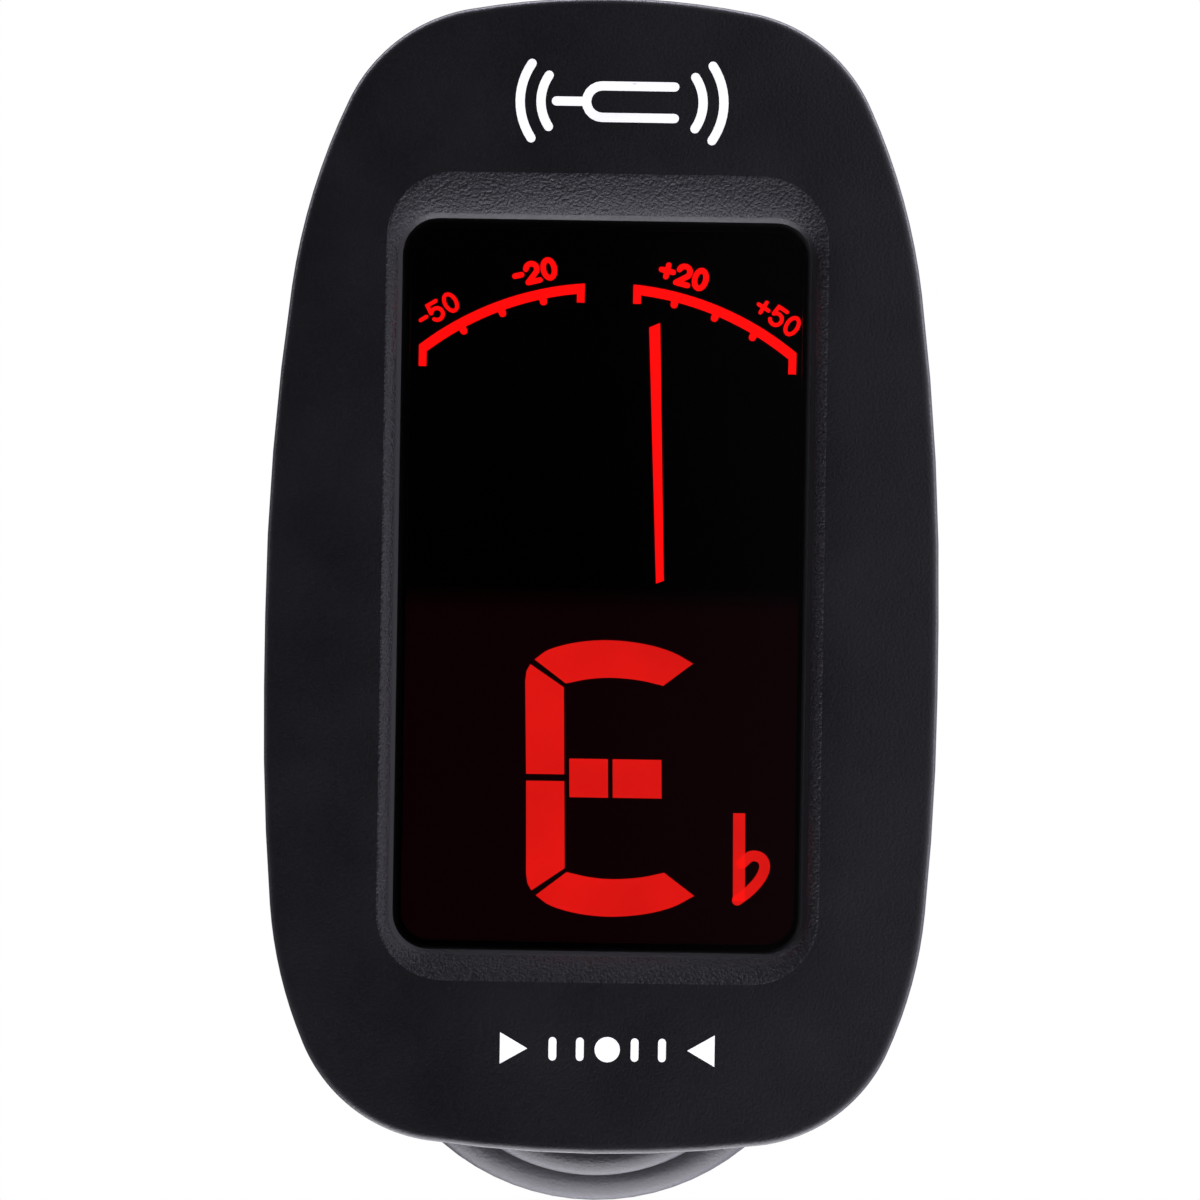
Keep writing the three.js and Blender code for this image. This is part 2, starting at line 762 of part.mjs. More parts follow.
class SpringRoute extends THREE.Curve {
  // A leg up the front jaw, the coil round the pin, and a leg down the rear jaw's lever.
  getPoint(t, target = new THREE.Vector3()) {
    const { radius, wire, turns, pitch, legReach } = coil;
    const legShare = 0.12;
    const width = turns * pitch;
    const foot = pivot.z - legReach;
    const leverSlope = (clip.leverInner - clip.throatInner) / (pivot.z - 3 - clip.bottom);
    const leverFace = clip.throatInner + (pivot.z - 3 - foot) * leverSlope;
    const frontFoot = new THREE.Vector3(-width / 2, clip.frontInner + wire + 0.12, foot);
    const rearFoot = new THREE.Vector3(width / 2, leverFace - wire - 0.3, foot);
    const frontTurn = new THREE.Vector3(-width / 2, pivot.y - radius, pivot.z);
    const rearTurn = new THREE.Vector3(width / 2, pivot.y + radius, pivot.z);
    if (t < legShare) return target.copy(frontFoot).lerp(frontTurn, t / legShare);
    if (t > 1 - legShare) return target.copy(rearTurn).lerp(rearFoot, (t - 1 + legShare) / legShare);
    const along = (t - legShare) / (1 - 2 * legShare);
    const angle = along * turns * 2 * Math.PI;
    return target.set(
      (along - 0.5) * width,
      pivot.y - radius * Math.cos(angle),
      pivot.z + radius * Math.sin(angle),
    );
  }
}

function clipSpring() {
  const section = new THREE.Shape().absarc(0, 0, coil.wire, 0, 2 * Math.PI);
  const settings = { steps: 110, extrudePath: new SpringRoute(), bevelEnabled: false, curveSegments: 4 };
  return new THREE.ExtrudeGeometry(section, settings);
}

function clipPin() {
  return rodAlongX(pivot.pinRadius, -10.3, 10.3, pivot.y, pivot.z, 20);
}

// Assembly.

function addTo(group, name, shape, material) {
  const mesh = new THREE.Mesh(toGeometry(shape), material);
  mesh.name = name;
  group.add(mesh);
}

const tuner = new THREE.Group();
const headGroup = new THREE.Group();
const clipGroup = new THREE.Group();
headGroup.position.set(0, -headDepthAtOrigin, -headHeightAtOrigin);
tuner.add(headGroup, clipGroup);

const headPieces = [
  ["front_shell", frontShell(), materials.blackPlastic],
  ["display_lens", displayLens(), materials.darkLens],
  ["lens_tape", lensTape(), materials.tape],
  ["lcd_front_glass", lcdGlass(glassSpan.front, glassSpan.bottom), materials.glass],
  ["lcd_rear_glass", lcdGlass(glassSpan.front + 0.8, guideSpan.bottom), materials.glass],
  ["lcd_frame", lcdFrame(), materials.whitePlastic],
  ["light_guide", lightGuide(), materials.whitePlastic],
  ["backlight_led_left", backlightLed(-1), materials.redLamp],
  ["backlight_led_right", backlightLed(1), materials.redLamp],
  ["zebra_strip", zebraStrip(), materials.rubber],
  ["circuit_board", circuitBoard(), materials.boardGreen],
  ["tuner_chip", tunerChip(), materials.chipBlack],
  ["crystal", crystal(), materials.steel],
  ["power_switch", powerSwitch(), materials.chipBlack],
  ["switch_plunger", switchPlunger(), materials.chipBlack],
  ["battery", battery(), materials.steel],
  ["battery_contact_plus", batteryContactPlus(), materials.steel],
  ["battery_contact_minus", batteryContactMinus(), materials.steel],
  ["piezo_plate", piezoPlate(), materials.brass],
  ["piezo_ceramic", piezoCeramic(), materials.ceramic],
  ["piezo_lead_red", piezoLeadRed(), materials.redWire],
  ["piezo_lead_black", piezoLeadBlack(), materials.blackWire],
  ["rear_shell", rearShell(), materials.blackPlastic],
  ["battery_door", batteryDoor(), materials.blackPlastic],
  ["power_button", powerButton(), materials.rubber],
  ["tilt_pin", tiltPin(), materials.steel],
  ["tilt_washer_left", tiltWasher(-1), materials.steel],
  ["tilt_washer_right", tiltWasher(1), materials.steel],
  ["swivel_disc", swivelDisc(), materials.blackPlastic],
  ["swivel_wave_washer", swivelWaveWasher(), materials.steel],
  ["swivel_washer", swivelWasher(), materials.steel],
  ["swivel_screw", swivelScrew(), materials.steel],
];
headPieces.forEach(([name, shape, material]) => addTo(headGroup, name, shape, material));
screws.forEach((place, i) => {
  addTo(headGroup, `housing_screw_${i + 1}`, housingScrew(place), materials.steel);
});

const clipPieces = [
  ["front_jaw", frontJaw(), materials.blackPlastic],
  ["rear_jaw", rearJaw(), materials.blackPlastic],
  ["front_pad", jawPad(clip.frontInner, 0), materials.rubber],
  ["rear_pad", jawPad(pad.gap, clip.rearInner), materials.rubber],
  ["clip_spring", clipSpring(), materials.steel],
  ["clip_pin", clipPin(), materials.steel],
];
clipPieces.forEach(([name, shape, material]) => addTo(clipGroup, name, shape, material));

export default tuner;
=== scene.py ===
"""Clip-on tuner: the finished look of every piece, on the frame that the CAD model gives.

Shapes are drawn in millimetres and scaled to metres as each piece is made. The head's pieces are drawn
in the head's own terms: x to the right, depth behind the front's crown, and height above its foot.
"""
import math
import bmesh
import bpy
import numpy as np
from mathutils import Matrix, Vector


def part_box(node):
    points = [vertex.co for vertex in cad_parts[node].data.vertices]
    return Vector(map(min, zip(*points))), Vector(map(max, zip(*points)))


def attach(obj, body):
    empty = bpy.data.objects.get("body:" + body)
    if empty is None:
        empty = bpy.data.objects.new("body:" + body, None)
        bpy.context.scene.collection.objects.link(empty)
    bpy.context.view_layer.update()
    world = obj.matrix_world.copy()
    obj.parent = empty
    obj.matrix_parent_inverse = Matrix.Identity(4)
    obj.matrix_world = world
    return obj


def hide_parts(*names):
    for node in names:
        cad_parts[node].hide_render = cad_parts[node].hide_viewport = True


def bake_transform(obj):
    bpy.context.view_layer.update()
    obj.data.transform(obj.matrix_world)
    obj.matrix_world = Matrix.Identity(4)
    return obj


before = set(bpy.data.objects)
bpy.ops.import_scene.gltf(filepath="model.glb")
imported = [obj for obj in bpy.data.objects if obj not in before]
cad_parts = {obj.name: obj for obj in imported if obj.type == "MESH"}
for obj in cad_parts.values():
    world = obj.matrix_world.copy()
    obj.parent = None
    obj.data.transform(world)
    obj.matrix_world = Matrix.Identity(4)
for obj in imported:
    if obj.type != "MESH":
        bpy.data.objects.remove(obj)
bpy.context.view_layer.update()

MM = 0.001
shell_low, shell_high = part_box("front_shell")
lens_low, lens_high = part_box("display_lens")
HEAD = Vector((0, shell_low.y, shell_low.z)) / MM
PART = Vector((0, 0, 0))

# The head.
WIDTH = (shell_high.x - shell_low.x) / MM
HEIGHT = (shell_high.z - shell_low.z) / MM
SPLIT = (shell_high.y - shell_low.y) / MM
BACK = 12.0
WALL = 1.4
CAVITY_FRONT = 3.1
CAVITY_BACK = 10.4
SEAM = 0.12
DRAFT = 0.1
EDGE = 0.3
BACK_ROUND = 3.0
CROWN_ACROSS = 150.0
CROWN_ALONG = 1500.0
TOP_ARCS = [(36, 10.4), (7.6, 54.5), (29, 17.6)]
BOTTOM_ARCS = [(60, 7.3), (7.4, 59), (20, 18.8)]

# The display window and the recess round it.
LENS_HALF = (lens_high.x - lens_low.x) / MM / 2
LENS_LOW = lens_low.z / MM - HEAD.z
LENS_HIGH = lens_high.z / MM - HEAD.z
LENS_FRONT = lens_low.y / MM - HEAD.y
LENS_BACK = lens_high.y / MM - HEAD.y
LENS_CORNER = 1.75
MIDDLE = np.array([0.0, (LENS_LOW + LENS_HIGH) / 2])
RECESS_SIDE = 0.6
RECESS_TOP = 1.95
RECESS_BOTTOM = 1.25
RECESS_CORNER = 3.0
LEDGE = 0.45


# Outlines: arrays of points in the plane of the face.

def end_run(arcs):
    """Points [x, drop, normal x, normal drop] along tangent arcs, from an end's middle to the widest."""
    turns = [(radius, math.radians(turn)) for radius, turn in arcs]
    heading = reach = 0.0
    for radius, turn in turns:
        reach += radius * (math.sin(heading + turn) - math.sin(heading))
        heading += turn
    turns.append(((WIDTH / 2 - reach) / (1 - math.sin(heading)), math.pi / 2 - heading))
    points = []
    x = drop = heading = 0.0
    for radius, turn in turns:
        centre = (x - radius * math.sin(heading), drop + radius * math.cos(heading))
        steps = max(3, math.ceil(math.degrees(turn) / 2.5))
        for k in range(steps):
            angle = heading + turn * k / steps
            way = (math.sin(angle), -math.cos(angle))
            points.append([centre[0] + radius * way[0], centre[1] + radius * way[1], *way])
        heading += turn
        x = centre[0] + radius * math.sin(heading)
        drop = centre[1] - radius * math.cos(heading)
    points.append([x, drop, 1.0, 0.0])
    return np.array(points)


def head_outline(inset=0.0):
    """The head's outline, pulled in by inset, once round from the middle of the top."""
    top, bottom = end_run(TOP_ARCS), end_run(BOTTOM_ARCS)
    upper = np.column_stack([top[:, 0] - inset * top[:, 2], HEIGHT - top[:, 1] + inset * top[:, 3]])
    lower = np.column_stack([bottom[:, 0] - inset * bottom[:, 2], bottom[:, 1] - inset * bottom[:, 3]])
    right = np.vstack([upper, lower[::-1]])
    left = right[1:-1][::-1] * [-1, 1]
    return np.vstack([right, left])


def rounded_outline(half_width, low, high, corner, steps=10):
    """An upright rectangle with rounded corners, once round."""
    points = []
    for quarter, (sx, top) in enumerate([(1, 1), (-1, 1), (-1, 0), (1, 0)]):
        centre_x = sx * (half_width - corner)
        centre_z = high - corner if top else low + corner
        for k in range(steps + 1):
            angle = (quarter + k / steps) * math.pi / 2
            points.append((centre_x + corner * math.cos(angle), centre_z + corner * math.sin(angle)))
    return np.array(points)


def recess_outline(grow=0.0):
    return rounded_outline(
        LENS_HALF + RECESS_SIDE + grow,
        LENS_LOW - RECESS_BOTTOM - grow,
        LENS_HIGH + RECESS_TOP + grow,
        RECESS_CORNER + grow,
    )


def lens_outline(grow=0.0):
    return rounded_outline(LENS_HALF + grow, LENS_LOW - grow, LENS_HIGH + grow, max(0.3, LENS_CORNER + grow))


def angles_of(outline, middle=MIDDLE):
    away = outline - middle
    return np.arctan2(away[:, 1], away[:, 0])


def spread_rays(outlines, middle=MIDDLE):
    """Angles that pass near every point of the outlines, with none closer than a third of a degree."""
    rays = np.sort(np.concatenate([angles_of(outline, middle) for outline in outlines]))
    kept = [rays[0]]
    for ray in rays[1:]:
        if ray - kept[-1] > math.radians(0.35):
            kept.append(ray)
    return np.array(kept)


def crossings(outline, rays, middle=MIDDLE):
    """Where rays from the middle, at these angles, cross an outline that runs round it."""
    away = outline - middle
    angle = np.arctan2(away[:, 1], away[:, 0])
    order = np.argsort(angle)
    away, angle = away[order], angle[order]
    away = np.vstack([away[-1:], away, away[:1]])
    angle = np.concatenate([[angle[-1] - 2 * math.pi], angle, [angle[0] + 2 * math.pi]])
    slot = np.searchsorted(angle, rays, side="right") - 1
    a, b = away[slot], away[slot + 1]
    ray_x, ray_z = np.cos(rays), np.sin(rays)
    off_a = a[:, 0] * ray_z - a[:, 1] * ray_x
    off_b = b[:, 0] * ray_z - b[:, 1] * ray_x
    share = off_a / (off_a - off_b)
    return middle + a + (b - a) * share[:, None]


def inset_polygon(points, amount):
    """A closed outline with each side moved in by amount. It works for either direction of travel."""
    points = np.asarray(points, float)
    after = np.roll(points, -1, axis=0) - points
    after /= np.linalg.norm(after, axis=1)[:, None]
    normal = np.column_stack([-after[:, 1], after[:, 0]])
    area = np.sum(points[:, 0] * np.roll(points[:, 1], -1) - np.roll(points[:, 0], -1) * points[:, 1])
    if area < 0:
        normal = -normal
    before = np.roll(normal, 1, axis=0)
    lean = 1 + np.sum(normal * before, axis=1)
    return points + amount * (normal + before) / np.maximum(lean, 0.3)[:, None]


def arc_path(centre, radius, start, end, steps=8, stretch=1.0):
    """Points along an arc, in degrees anticlockwise from the right. stretch lengthens it upwards."""
    angles = [math.radians(start + (end - start) * k / steps) for k in range(steps + 1)]
    return [(centre[0] + radius * math.cos(a), centre[1] + stretch * radius * math.sin(a)) for a in angles]


def smooth_path(points, steps=8):
    """A curve through all of the points."""
    points = [2 * np.array(points[0]) - points[1], *points, 2 * np.array(points[-1]) - points[-2]]
    run = []
    for a, b, c, d in zip(points, points[1:], points[2:], points[3:]):
        a, b, c, d = map(np.asarray, (a, b, c, d))
        for k in range(steps):
            t = k / steps
            run.append(0.5 * (2 * b + (c - a) * t + (2 * a - 5 * b + 4 * c - d) * t**2
                              + (3 * b - a - 3 * c + d) * t**3))
    return np.array(run + [np.asarray(points[-2], float)])


def crown(points):
    """How far the face falls away behind its highest point."""
    return points[:, 0] ** 2 / (2 * CROWN_ACROSS) + (points[:, 1] - MIDDLE[1]) ** 2 / (2 * CROWN_ALONG)


def level(points, depth):
    """Points of the face's plane, set at a depth or at one depth each."""
    return [(x, d, z) for (x, z), d in zip(points, np.broadcast_to(depth, len(points)))]


# Meshes.

def skin(bm, rings, closed=False, caps=True, finish=None):
    """Faces over rings of equal length. finish gives the material index of the band after each ring."""
    rows = [[bm.verts.new(point) for point in ring] for ring in rings]
    pairs = list(zip(rows, rows[1:])) + ([(rows[-1], rows[0])] if closed else [])
    for band, (near, far) in enumerate(pairs):
        for i in range(len(near)):
            j = (i + 1) % len(near)
            face = bm.faces.new((near[i], near[j], far[j], far[i]))
            face.material_index = finish[band] if finish else 0
    if caps and not closed:
        bm.faces.new(rows[0])
        bm.faces.new(rows[-1][::-1])
    return bm


def along(axis, outline, t):
    """A flat outline set at t along an axis."""
    if axis == "x":
        return [(t, a, b) for a, b in outline]
    if axis == "y":
        return [(a, t, b) for a, b in outline]
    return [(a, b, t) for a, b in outline]


def slab(bm, outline, low, high, edges=(0.1, 0.1), axis="y", steps=3):
    """A plate with an outline of its own, from low to high along an axis, with rounded edges at each end."""
    rings = []
    for end, edge, way in ((low, edges[0], 1), (high, edges[1], -1)):
        run = [along(axis, inset_polygon(outline, 1.7 * edge), end)]
        for k in range(steps + 1):
            angle = math.pi / 2 * k / steps
            pulled = inset_polygon(outline, edge * (1 - math.sin(angle)))
            run.append(along(axis, pulled, end + way * edge * (1 - math.cos(angle))))
        rings += run if way > 0 else run[::-1]
    return skin(bm, rings)


def turned(bm, profile, centre, axis="y", steps=64):
    """A body of revolution. The profile lists (radius, t) and its ends are closed flat."""
    angles = np.linspace(0, 2 * math.pi, steps, endpoint=False)
    rings = []
    for radius, t in profile:
        circle = np.column_stack([radius * np.cos(angles), radius * np.sin(angles)]) + centre
        rings.append(along(axis, circle, t))
    return skin(bm, rings)


def rounded_profile(points, radius, steps=3):
    """A profile whose inner points are rounded off to about the radius."""
    points = [np.array(p, float) for p in points]
    smooth = [points[0]]
    for before, here, after in zip(points, points[1:], points[2:]):
        back, on = before - here, after - here
        reach = min(radius, 0.45 * np.linalg.norm(back), 0.45 * np.linalg.norm(on))
        start = here + back / np.linalg.norm(back) * reach
        end = here + on / np.linalg.norm(on) * reach
        for k in range(steps + 1):
            t = k / steps
            smooth.append((1 - t) ** 2 * start + 2 * t * (1 - t) * here + t * t * end)
    return smooth + [points[-1]]


def rod(bm, a, b, radius, edge=None, steps=24):
    """A round bar between two points, with rounded ends."""
    a, b = Vector(a), Vector(b)
    way = (b - a).normalized()
    side = way.orthogonal().normalized()
    up = way.cross(side)
    edge = radius * 0.98 if edge is None else edge
    rings = []
    for end, sign in ((a, 1), (b, -1)):
        run = []
        for k in range(7):
            angle = math.pi / 2 * k / 6
            r = radius - edge * (1 - math.sin(angle))
            middle = end + way * sign * edge * (1 - math.cos(angle))
            circle = []
            for i in range(steps):
                turn = 2 * math.pi * i / steps
                circle.append(middle + (side * math.cos(turn) + up * math.sin(turn)) * r)
            run.append(circle)
        rings += run if sign > 0 else run[::-1]
    return skin(bm, rings)


def outward(bm):
    """Turns every face to look out of its solid."""
    bmesh.ops.recalc_face_normals(bm, faces=bm.faces)
    return bm


def solid(build, *args, **options):
    """A fresh bmesh made by one of the builders above."""
    bm = bmesh.new()
    build(bm, *args, **options)
    return outward(bm)


def add(tool):
    """A step for combined() that joins a solid on."""
    return "UNION", tool


def cut(tool):
    """A step for combined() that takes a solid away."""
    return "DIFFERENCE", tool


def workpiece(bm):
    mesh = bpy.data.meshes.new("work")
    bm.to_mesh(mesh)
    bm.free()
    obj = bpy.data.objects.new("work", mesh)
    bpy.context.scene.collection.objects.link(obj)
    return obj


def combined(bm, *steps):
    """Joins and cuts solids in turn: each step comes from add() or cut()."""
    base = workpiece(bm)
    for operation, tool_bm in steps:
        tool = workpiece(tool_bm)
        change = base.modifiers.new("change", "BOOLEAN")
        change.operation = operation
        change.solver = "EXACT"
        change.object = tool
        bpy.context.view_layer.update()
        shape = bpy.data.meshes.new_from_object(base.evaluated_get(bpy.context.evaluated_depsgraph_get()))
        base.modifiers.clear()
        base.data = shape
        bpy.data.objects.remove(tool)
    result = bmesh.new()
    result.from_mesh(base.data)
    bpy.data.objects.remove(base)
    return result


def piece(name, bm, finishes, body, node=None, home=HEAD, crease=35):
    """Makes a mesh in millimetres into a finished piece that rides on a body, and stands for a CAD node."""
    bmesh.ops.translate(bm, verts=bm.verts, vec=home)
    bmesh.ops.scale(bm, verts=bm.verts, vec=(MM, MM, MM))
    mesh = bpy.data.meshes.new(name)
    bm.to_mesh(mesh)
    bm.free()
    mesh.shade_smooth()
    mesh.set_sharp_from_angle(angle=math.radians(crease))
    obj = bpy.data.objects.new(name, mesh)
    bpy.context.scene.collection.objects.link(obj)
    for material in finishes if isinstance(finishes, list) else [finishes]:
        mesh.materials.append(material)
    if body:
        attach(obj, body)
    if node:
        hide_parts(node)
    return obj


# Materials.

def noise(nodes, links, place, size, detail=3.0, stretch=None):
    """A noise whose features are about size millimetres across."""
    texture = nodes.new("ShaderNodeTexNoise")
    texture.inputs["Scale"].default_value = 1 / (size * MM)
    texture.inputs["Detail"].default_value = detail
    if stretch:
        mapping = nodes.new("ShaderNodeMapping")
        mapping.inputs["Scale"].default_value = stretch
        links.new(place, mapping.inputs["Vector"])
        place = mapping.outputs["Vector"]
    links.new(place, texture.inputs["Vector"])
    return texture.outputs["Fac"]


def remap(nodes, links, value, start, end, low, high, curve="LINEAR"):
    """Maps start to end of a value onto low to high."""
    node = nodes.new("ShaderNodeMapRange")
    node.interpolation_type = curve
    for name, number in (("From Min", start), ("From Max", end), ("To Min", low), ("To Max", high)):
        node.inputs[name].default_value = number
    links.new(value, node.inputs["Value"])
    return node.outputs["Result"]


NOISE_LOW, NOISE_HIGH = 0.35, 0.65


def spread(nodes, links, value, low, high):
    """Maps the middle of a noise onto low to high."""
    return remap(nodes, links, value, NOISE_LOW, NOISE_HIGH, low, high)


def axes(nodes, links, kind):
    """The X, Y and Z of one kind of texture coordinate."""
    split = nodes.new("ShaderNodeSeparateXYZ")
    links.new(nodes.new("ShaderNodeTexCoord").outputs[kind], split.inputs["Vector"])
    return split.outputs


def surface(name, colour, roughness, metallic=0.0, grain=0.12, relief=0.004, mottle=0.12,
            uneven=0.08, cloud=5.0, stretch=None, specular=0.5, coat=0.0, flecked=False):
    """A procedural surface: fine relief of a given grain, with slow changes of colour and roughness."""
    material = bpy.data.materials.new(name)
    material.use_nodes = True
    nodes, links = material.node_tree.nodes, material.node_tree.links
    shader = nodes["Principled BSDF"]
    place = nodes.new("ShaderNodeTexCoord").outputs["Object"]
    fine = noise(nodes, links, place, grain, 2.0, stretch)
    slow = noise(nodes, links, place, cloud, 4.0)
    tone = nodes.new("ShaderNodeMix")
    tone.data_type = "RGBA"
    tone.inputs["A"].default_value = (*[c * (1 - mottle) for c in colour], 1)
    tone.inputs["B"].default_value = (*[c * (1 + mottle) for c in colour], 1)
    links.new(spread(nodes, links, fine if flecked else slow, 0, 1), tone.inputs["Factor"])
    links.new(tone.outputs["Result"], shader.inputs["Base Color"])
    both = nodes.new("ShaderNodeMath")
    both.operation = "MULTIPLY_ADD"
    both.inputs[1].default_value = 0.5
    links.new(fine, both.inputs[0])
    half = nodes.new("ShaderNodeMath")
    half.operation = "MULTIPLY"
    half.inputs[1].default_value = 0.5
    links.new(slow, half.inputs[0])
    links.new(half.outputs["Value"], both.inputs[2])
    rough = spread(nodes, links, both.outputs["Value"], max(0.02, roughness - uneven), roughness + uneven)
    links.new(rough, shader.inputs["Roughness"])
    bump = nodes.new("ShaderNodeBump")
    bump.inputs["Strength"].default_value = 1.0
    bump.inputs["Distance"].default_value = relief * MM
    links.new(fine, bump.inputs["Height"])
    links.new(bump.outputs["Normal"], shader.inputs["Normal"])
    shader.inputs["Metallic"].default_value = metallic
    shader.inputs["Specular IOR Level"].default_value = specular
    shader.inputs["Coat Weight"].default_value = coat
    return material


def glowing(name, colour, strength, base=(0.25, 0.01, 0.01)):
    """A surface that gives light of its own, a little uneven in its brightness."""
    material = surface(name, base, 0.5, grain=0.2, relief=0.001, mottle=0.04)
    nodes, links = material.node_tree.nodes, material.node_tree.links
    shader = nodes["Principled BSDF"]
    place = nodes.new("ShaderNodeTexCoord").outputs["Object"]
    shader.inputs["Emission Color"].default_value = (*colour, 1)
    links.new(
        spread(nodes, links, noise(nodes, links, place, 4.0), 0.94 * strength, 1.06 * strength),
        shader.inputs["Emission Strength"],
    )
    return material


def smoked_lens():
    """Clear acrylic, tinted nearly black, with a hard gloss."""
    material = surface("smoked_acrylic", (0.3, 0.285, 0.285), 0.03, grain=8.0, relief=0.0005, mottle=0.03,
                       uneven=0.012, cloud=14.0)
    shader = material.node_tree.nodes["Principled BSDF"]
    shader.inputs["Transmission Weight"].default_value = 1.0
    shader.inputs["IOR"].default_value = 1.49
    return material


SEEP = 0.012
SEEP_FADE = 1.2


def backlight_seep():
    """The display's own black, where the backlight seeps through a little around the note."""
    material = surface("backlight_seep", (0.004, 0.001, 0.001), 0.2, grain=3.0, relief=0.0005, uneven=0.05)
    nodes, links = material.node_tree.nodes, material.node_tree.links
    shader = nodes["Principled BSDF"]
    middle = (HEAD.z + MIDDLE[1]) * MM
    height = axes(nodes, links, "Object")["Z"]
    fade = remap(nodes, links, height, middle - SEEP_FADE * MM, middle, SEEP, 0.0)
    shader.inputs["Emission Color"].default_value = (1.0, 0.1, 0.2, 1)
    links.new(fade, shader.inputs["Emission Strength"])
    return material


moulded = surface("moulded_black", (0.0085, 0.0082, 0.0098), 0.36, grain=0.13, relief=0.014, uneven=0.06)
grained = surface("spark_grain", (0.017, 0.0165, 0.0195), 0.4, grain=0.13, relief=0.085, mottle=0.6,
                  uneven=0.1, flecked=True)
soft_black = surface("clip_black", (0.03, 0.0295, 0.034), 0.42, grain=0.13, relief=0.02, uneven=0.07)
disc_black = surface("disc_black", (0.024, 0.0235, 0.0275), 0.4, grain=0.13, relief=0.025, uneven=0.07)
window = smoked_lens()
liquid_crystal = surface("liquid_crystal", (0.004, 0.001, 0.001), 0.2, grain=3.0, relief=0.0005, uneven=0.05)
seep = backlight_seep()
lit = glowing("lit_segments", (1.0, 0.003, 0.0025), 4.3)
lit_note = glowing("lit_note", (1.0, 0.011, 0.008), 2.5)
# Painted glow: the white print gives off light of its own (strength 0.55), so it reads brighter than the
# light that falls on it. The ink itself is real.
print_white_painted_glow = glowing("white_print_painted_glow", (1, 1, 1), 0.55, base=(0.86, 0.86, 0.86))
foam = surface("adhesive_foam", (0.01, 0.01, 0.01), 0.85, grain=0.15, relief=0.01)
milky = surface("white_moulding", (0.72, 0.7, 0.64), 0.45, grain=0.15, relief=0.003, mottle=0.05)
lamp_resin = surface("lamp_resin", (0.5, 0.02, 0.015), 0.2, grain=0.5, relief=0.001)
silicone = surface("striped_silicone", (0.05, 0.05, 0.055), 0.7, grain=0.12, relief=0.01,
                   stretch=(1, 1, 0.05))
mask_green = surface("solder_mask", (0.012, 0.09, 0.035), 0.3, grain=0.6, relief=0.01, mottle=0.25, coat=0.3)
epoxy = surface("moulded_epoxy", (0.012, 0.012, 0.013), 0.6, grain=0.1, relief=0.006)
steel = surface("plain_steel", (0.56, 0.56, 0.55), 0.28, 1.0, grain=0.1, relief=0.002, stretch=(0.1, 1, 1))
black_steel = surface("blackened_steel", (0.09, 0.09, 0.095), 0.36, 1.0, grain=0.12, relief=0.004,
                      mottle=0.25)
plated_wire = surface("plated_wire", (0.6, 0.59, 0.56), 0.22, 1.0, grain=0.15, relief=0.003, mottle=0.08)
cell_can = surface("cell_can", (0.6, 0.6, 0.58), 0.24, 1.0, grain=0.25, relief=0.002, stretch=(1, 1, 0.04))
strip_steel = surface("sprung_strip", (0.62, 0.6, 0.55), 0.27, 1.0, grain=0.2, relief=0.002,
                      stretch=(0.06, 1, 1))
brass = surface("sounder_brass", (0.62, 0.42, 0.14), 0.3, 1.0, grain=0.2, relief=0.002, mottle=0.15)
ceramic = surface("silvered_ceramic", (0.62, 0.61, 0.57), 0.5, grain=0.1, relief=0.004)
red_cover = surface("red_insulation", (0.42, 0.02, 0.02), 0.4, grain=0.3, relief=0.003)
black_cover = surface("black_insulation", (0.012, 0.012, 0.012), 0.4, grain=0.3, relief=0.003)
button_rubber = surface("button_rubber", (0.028, 0.028, 0.031), 0.62, grain=0.12, relief=0.006)
pad_rubber = surface("pad_rubber", (0.014, 0.014, 0.014), 0.78, grain=0.1, relief=0.008, mottle=0.2)

CAD_FINISHES = {
    "lens_tape": foam,
    "lcd_rear_glass": liquid_crystal,
    "lcd_frame": milky,
    "light_guide": milky,
    "backlight_led_left": lamp_resin,
    "backlight_led_right": lamp_resin,
    "zebra_strip": silicone,
    "circuit_board": mask_green,
    "tuner_chip": epoxy,
    "crystal": steel,
    "power_switch": epoxy,
    "switch_plunger": epoxy,
    "battery_contact_plus": strip_steel,
    "battery_contact_minus": strip_steel,
    "piezo_plate": brass,
    "piezo_ceramic": ceramic,
    "piezo_lead_red": red_cover,
    "piezo_lead_black": black_cover,
    "swivel_wave_washer": steel,
    "swivel_washer": steel,
    "swivel_screw": black_steel,
    "tilt_washer_left": steel,
    "tilt_washer_right": steel,
}


def dress_cad_nodes():
    for name, material in CAD_FINISHES.items():
        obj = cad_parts[name]
        for place in obj.material_slots:
            place.link = "OBJECT"
            place.material = material


# The front of the head.

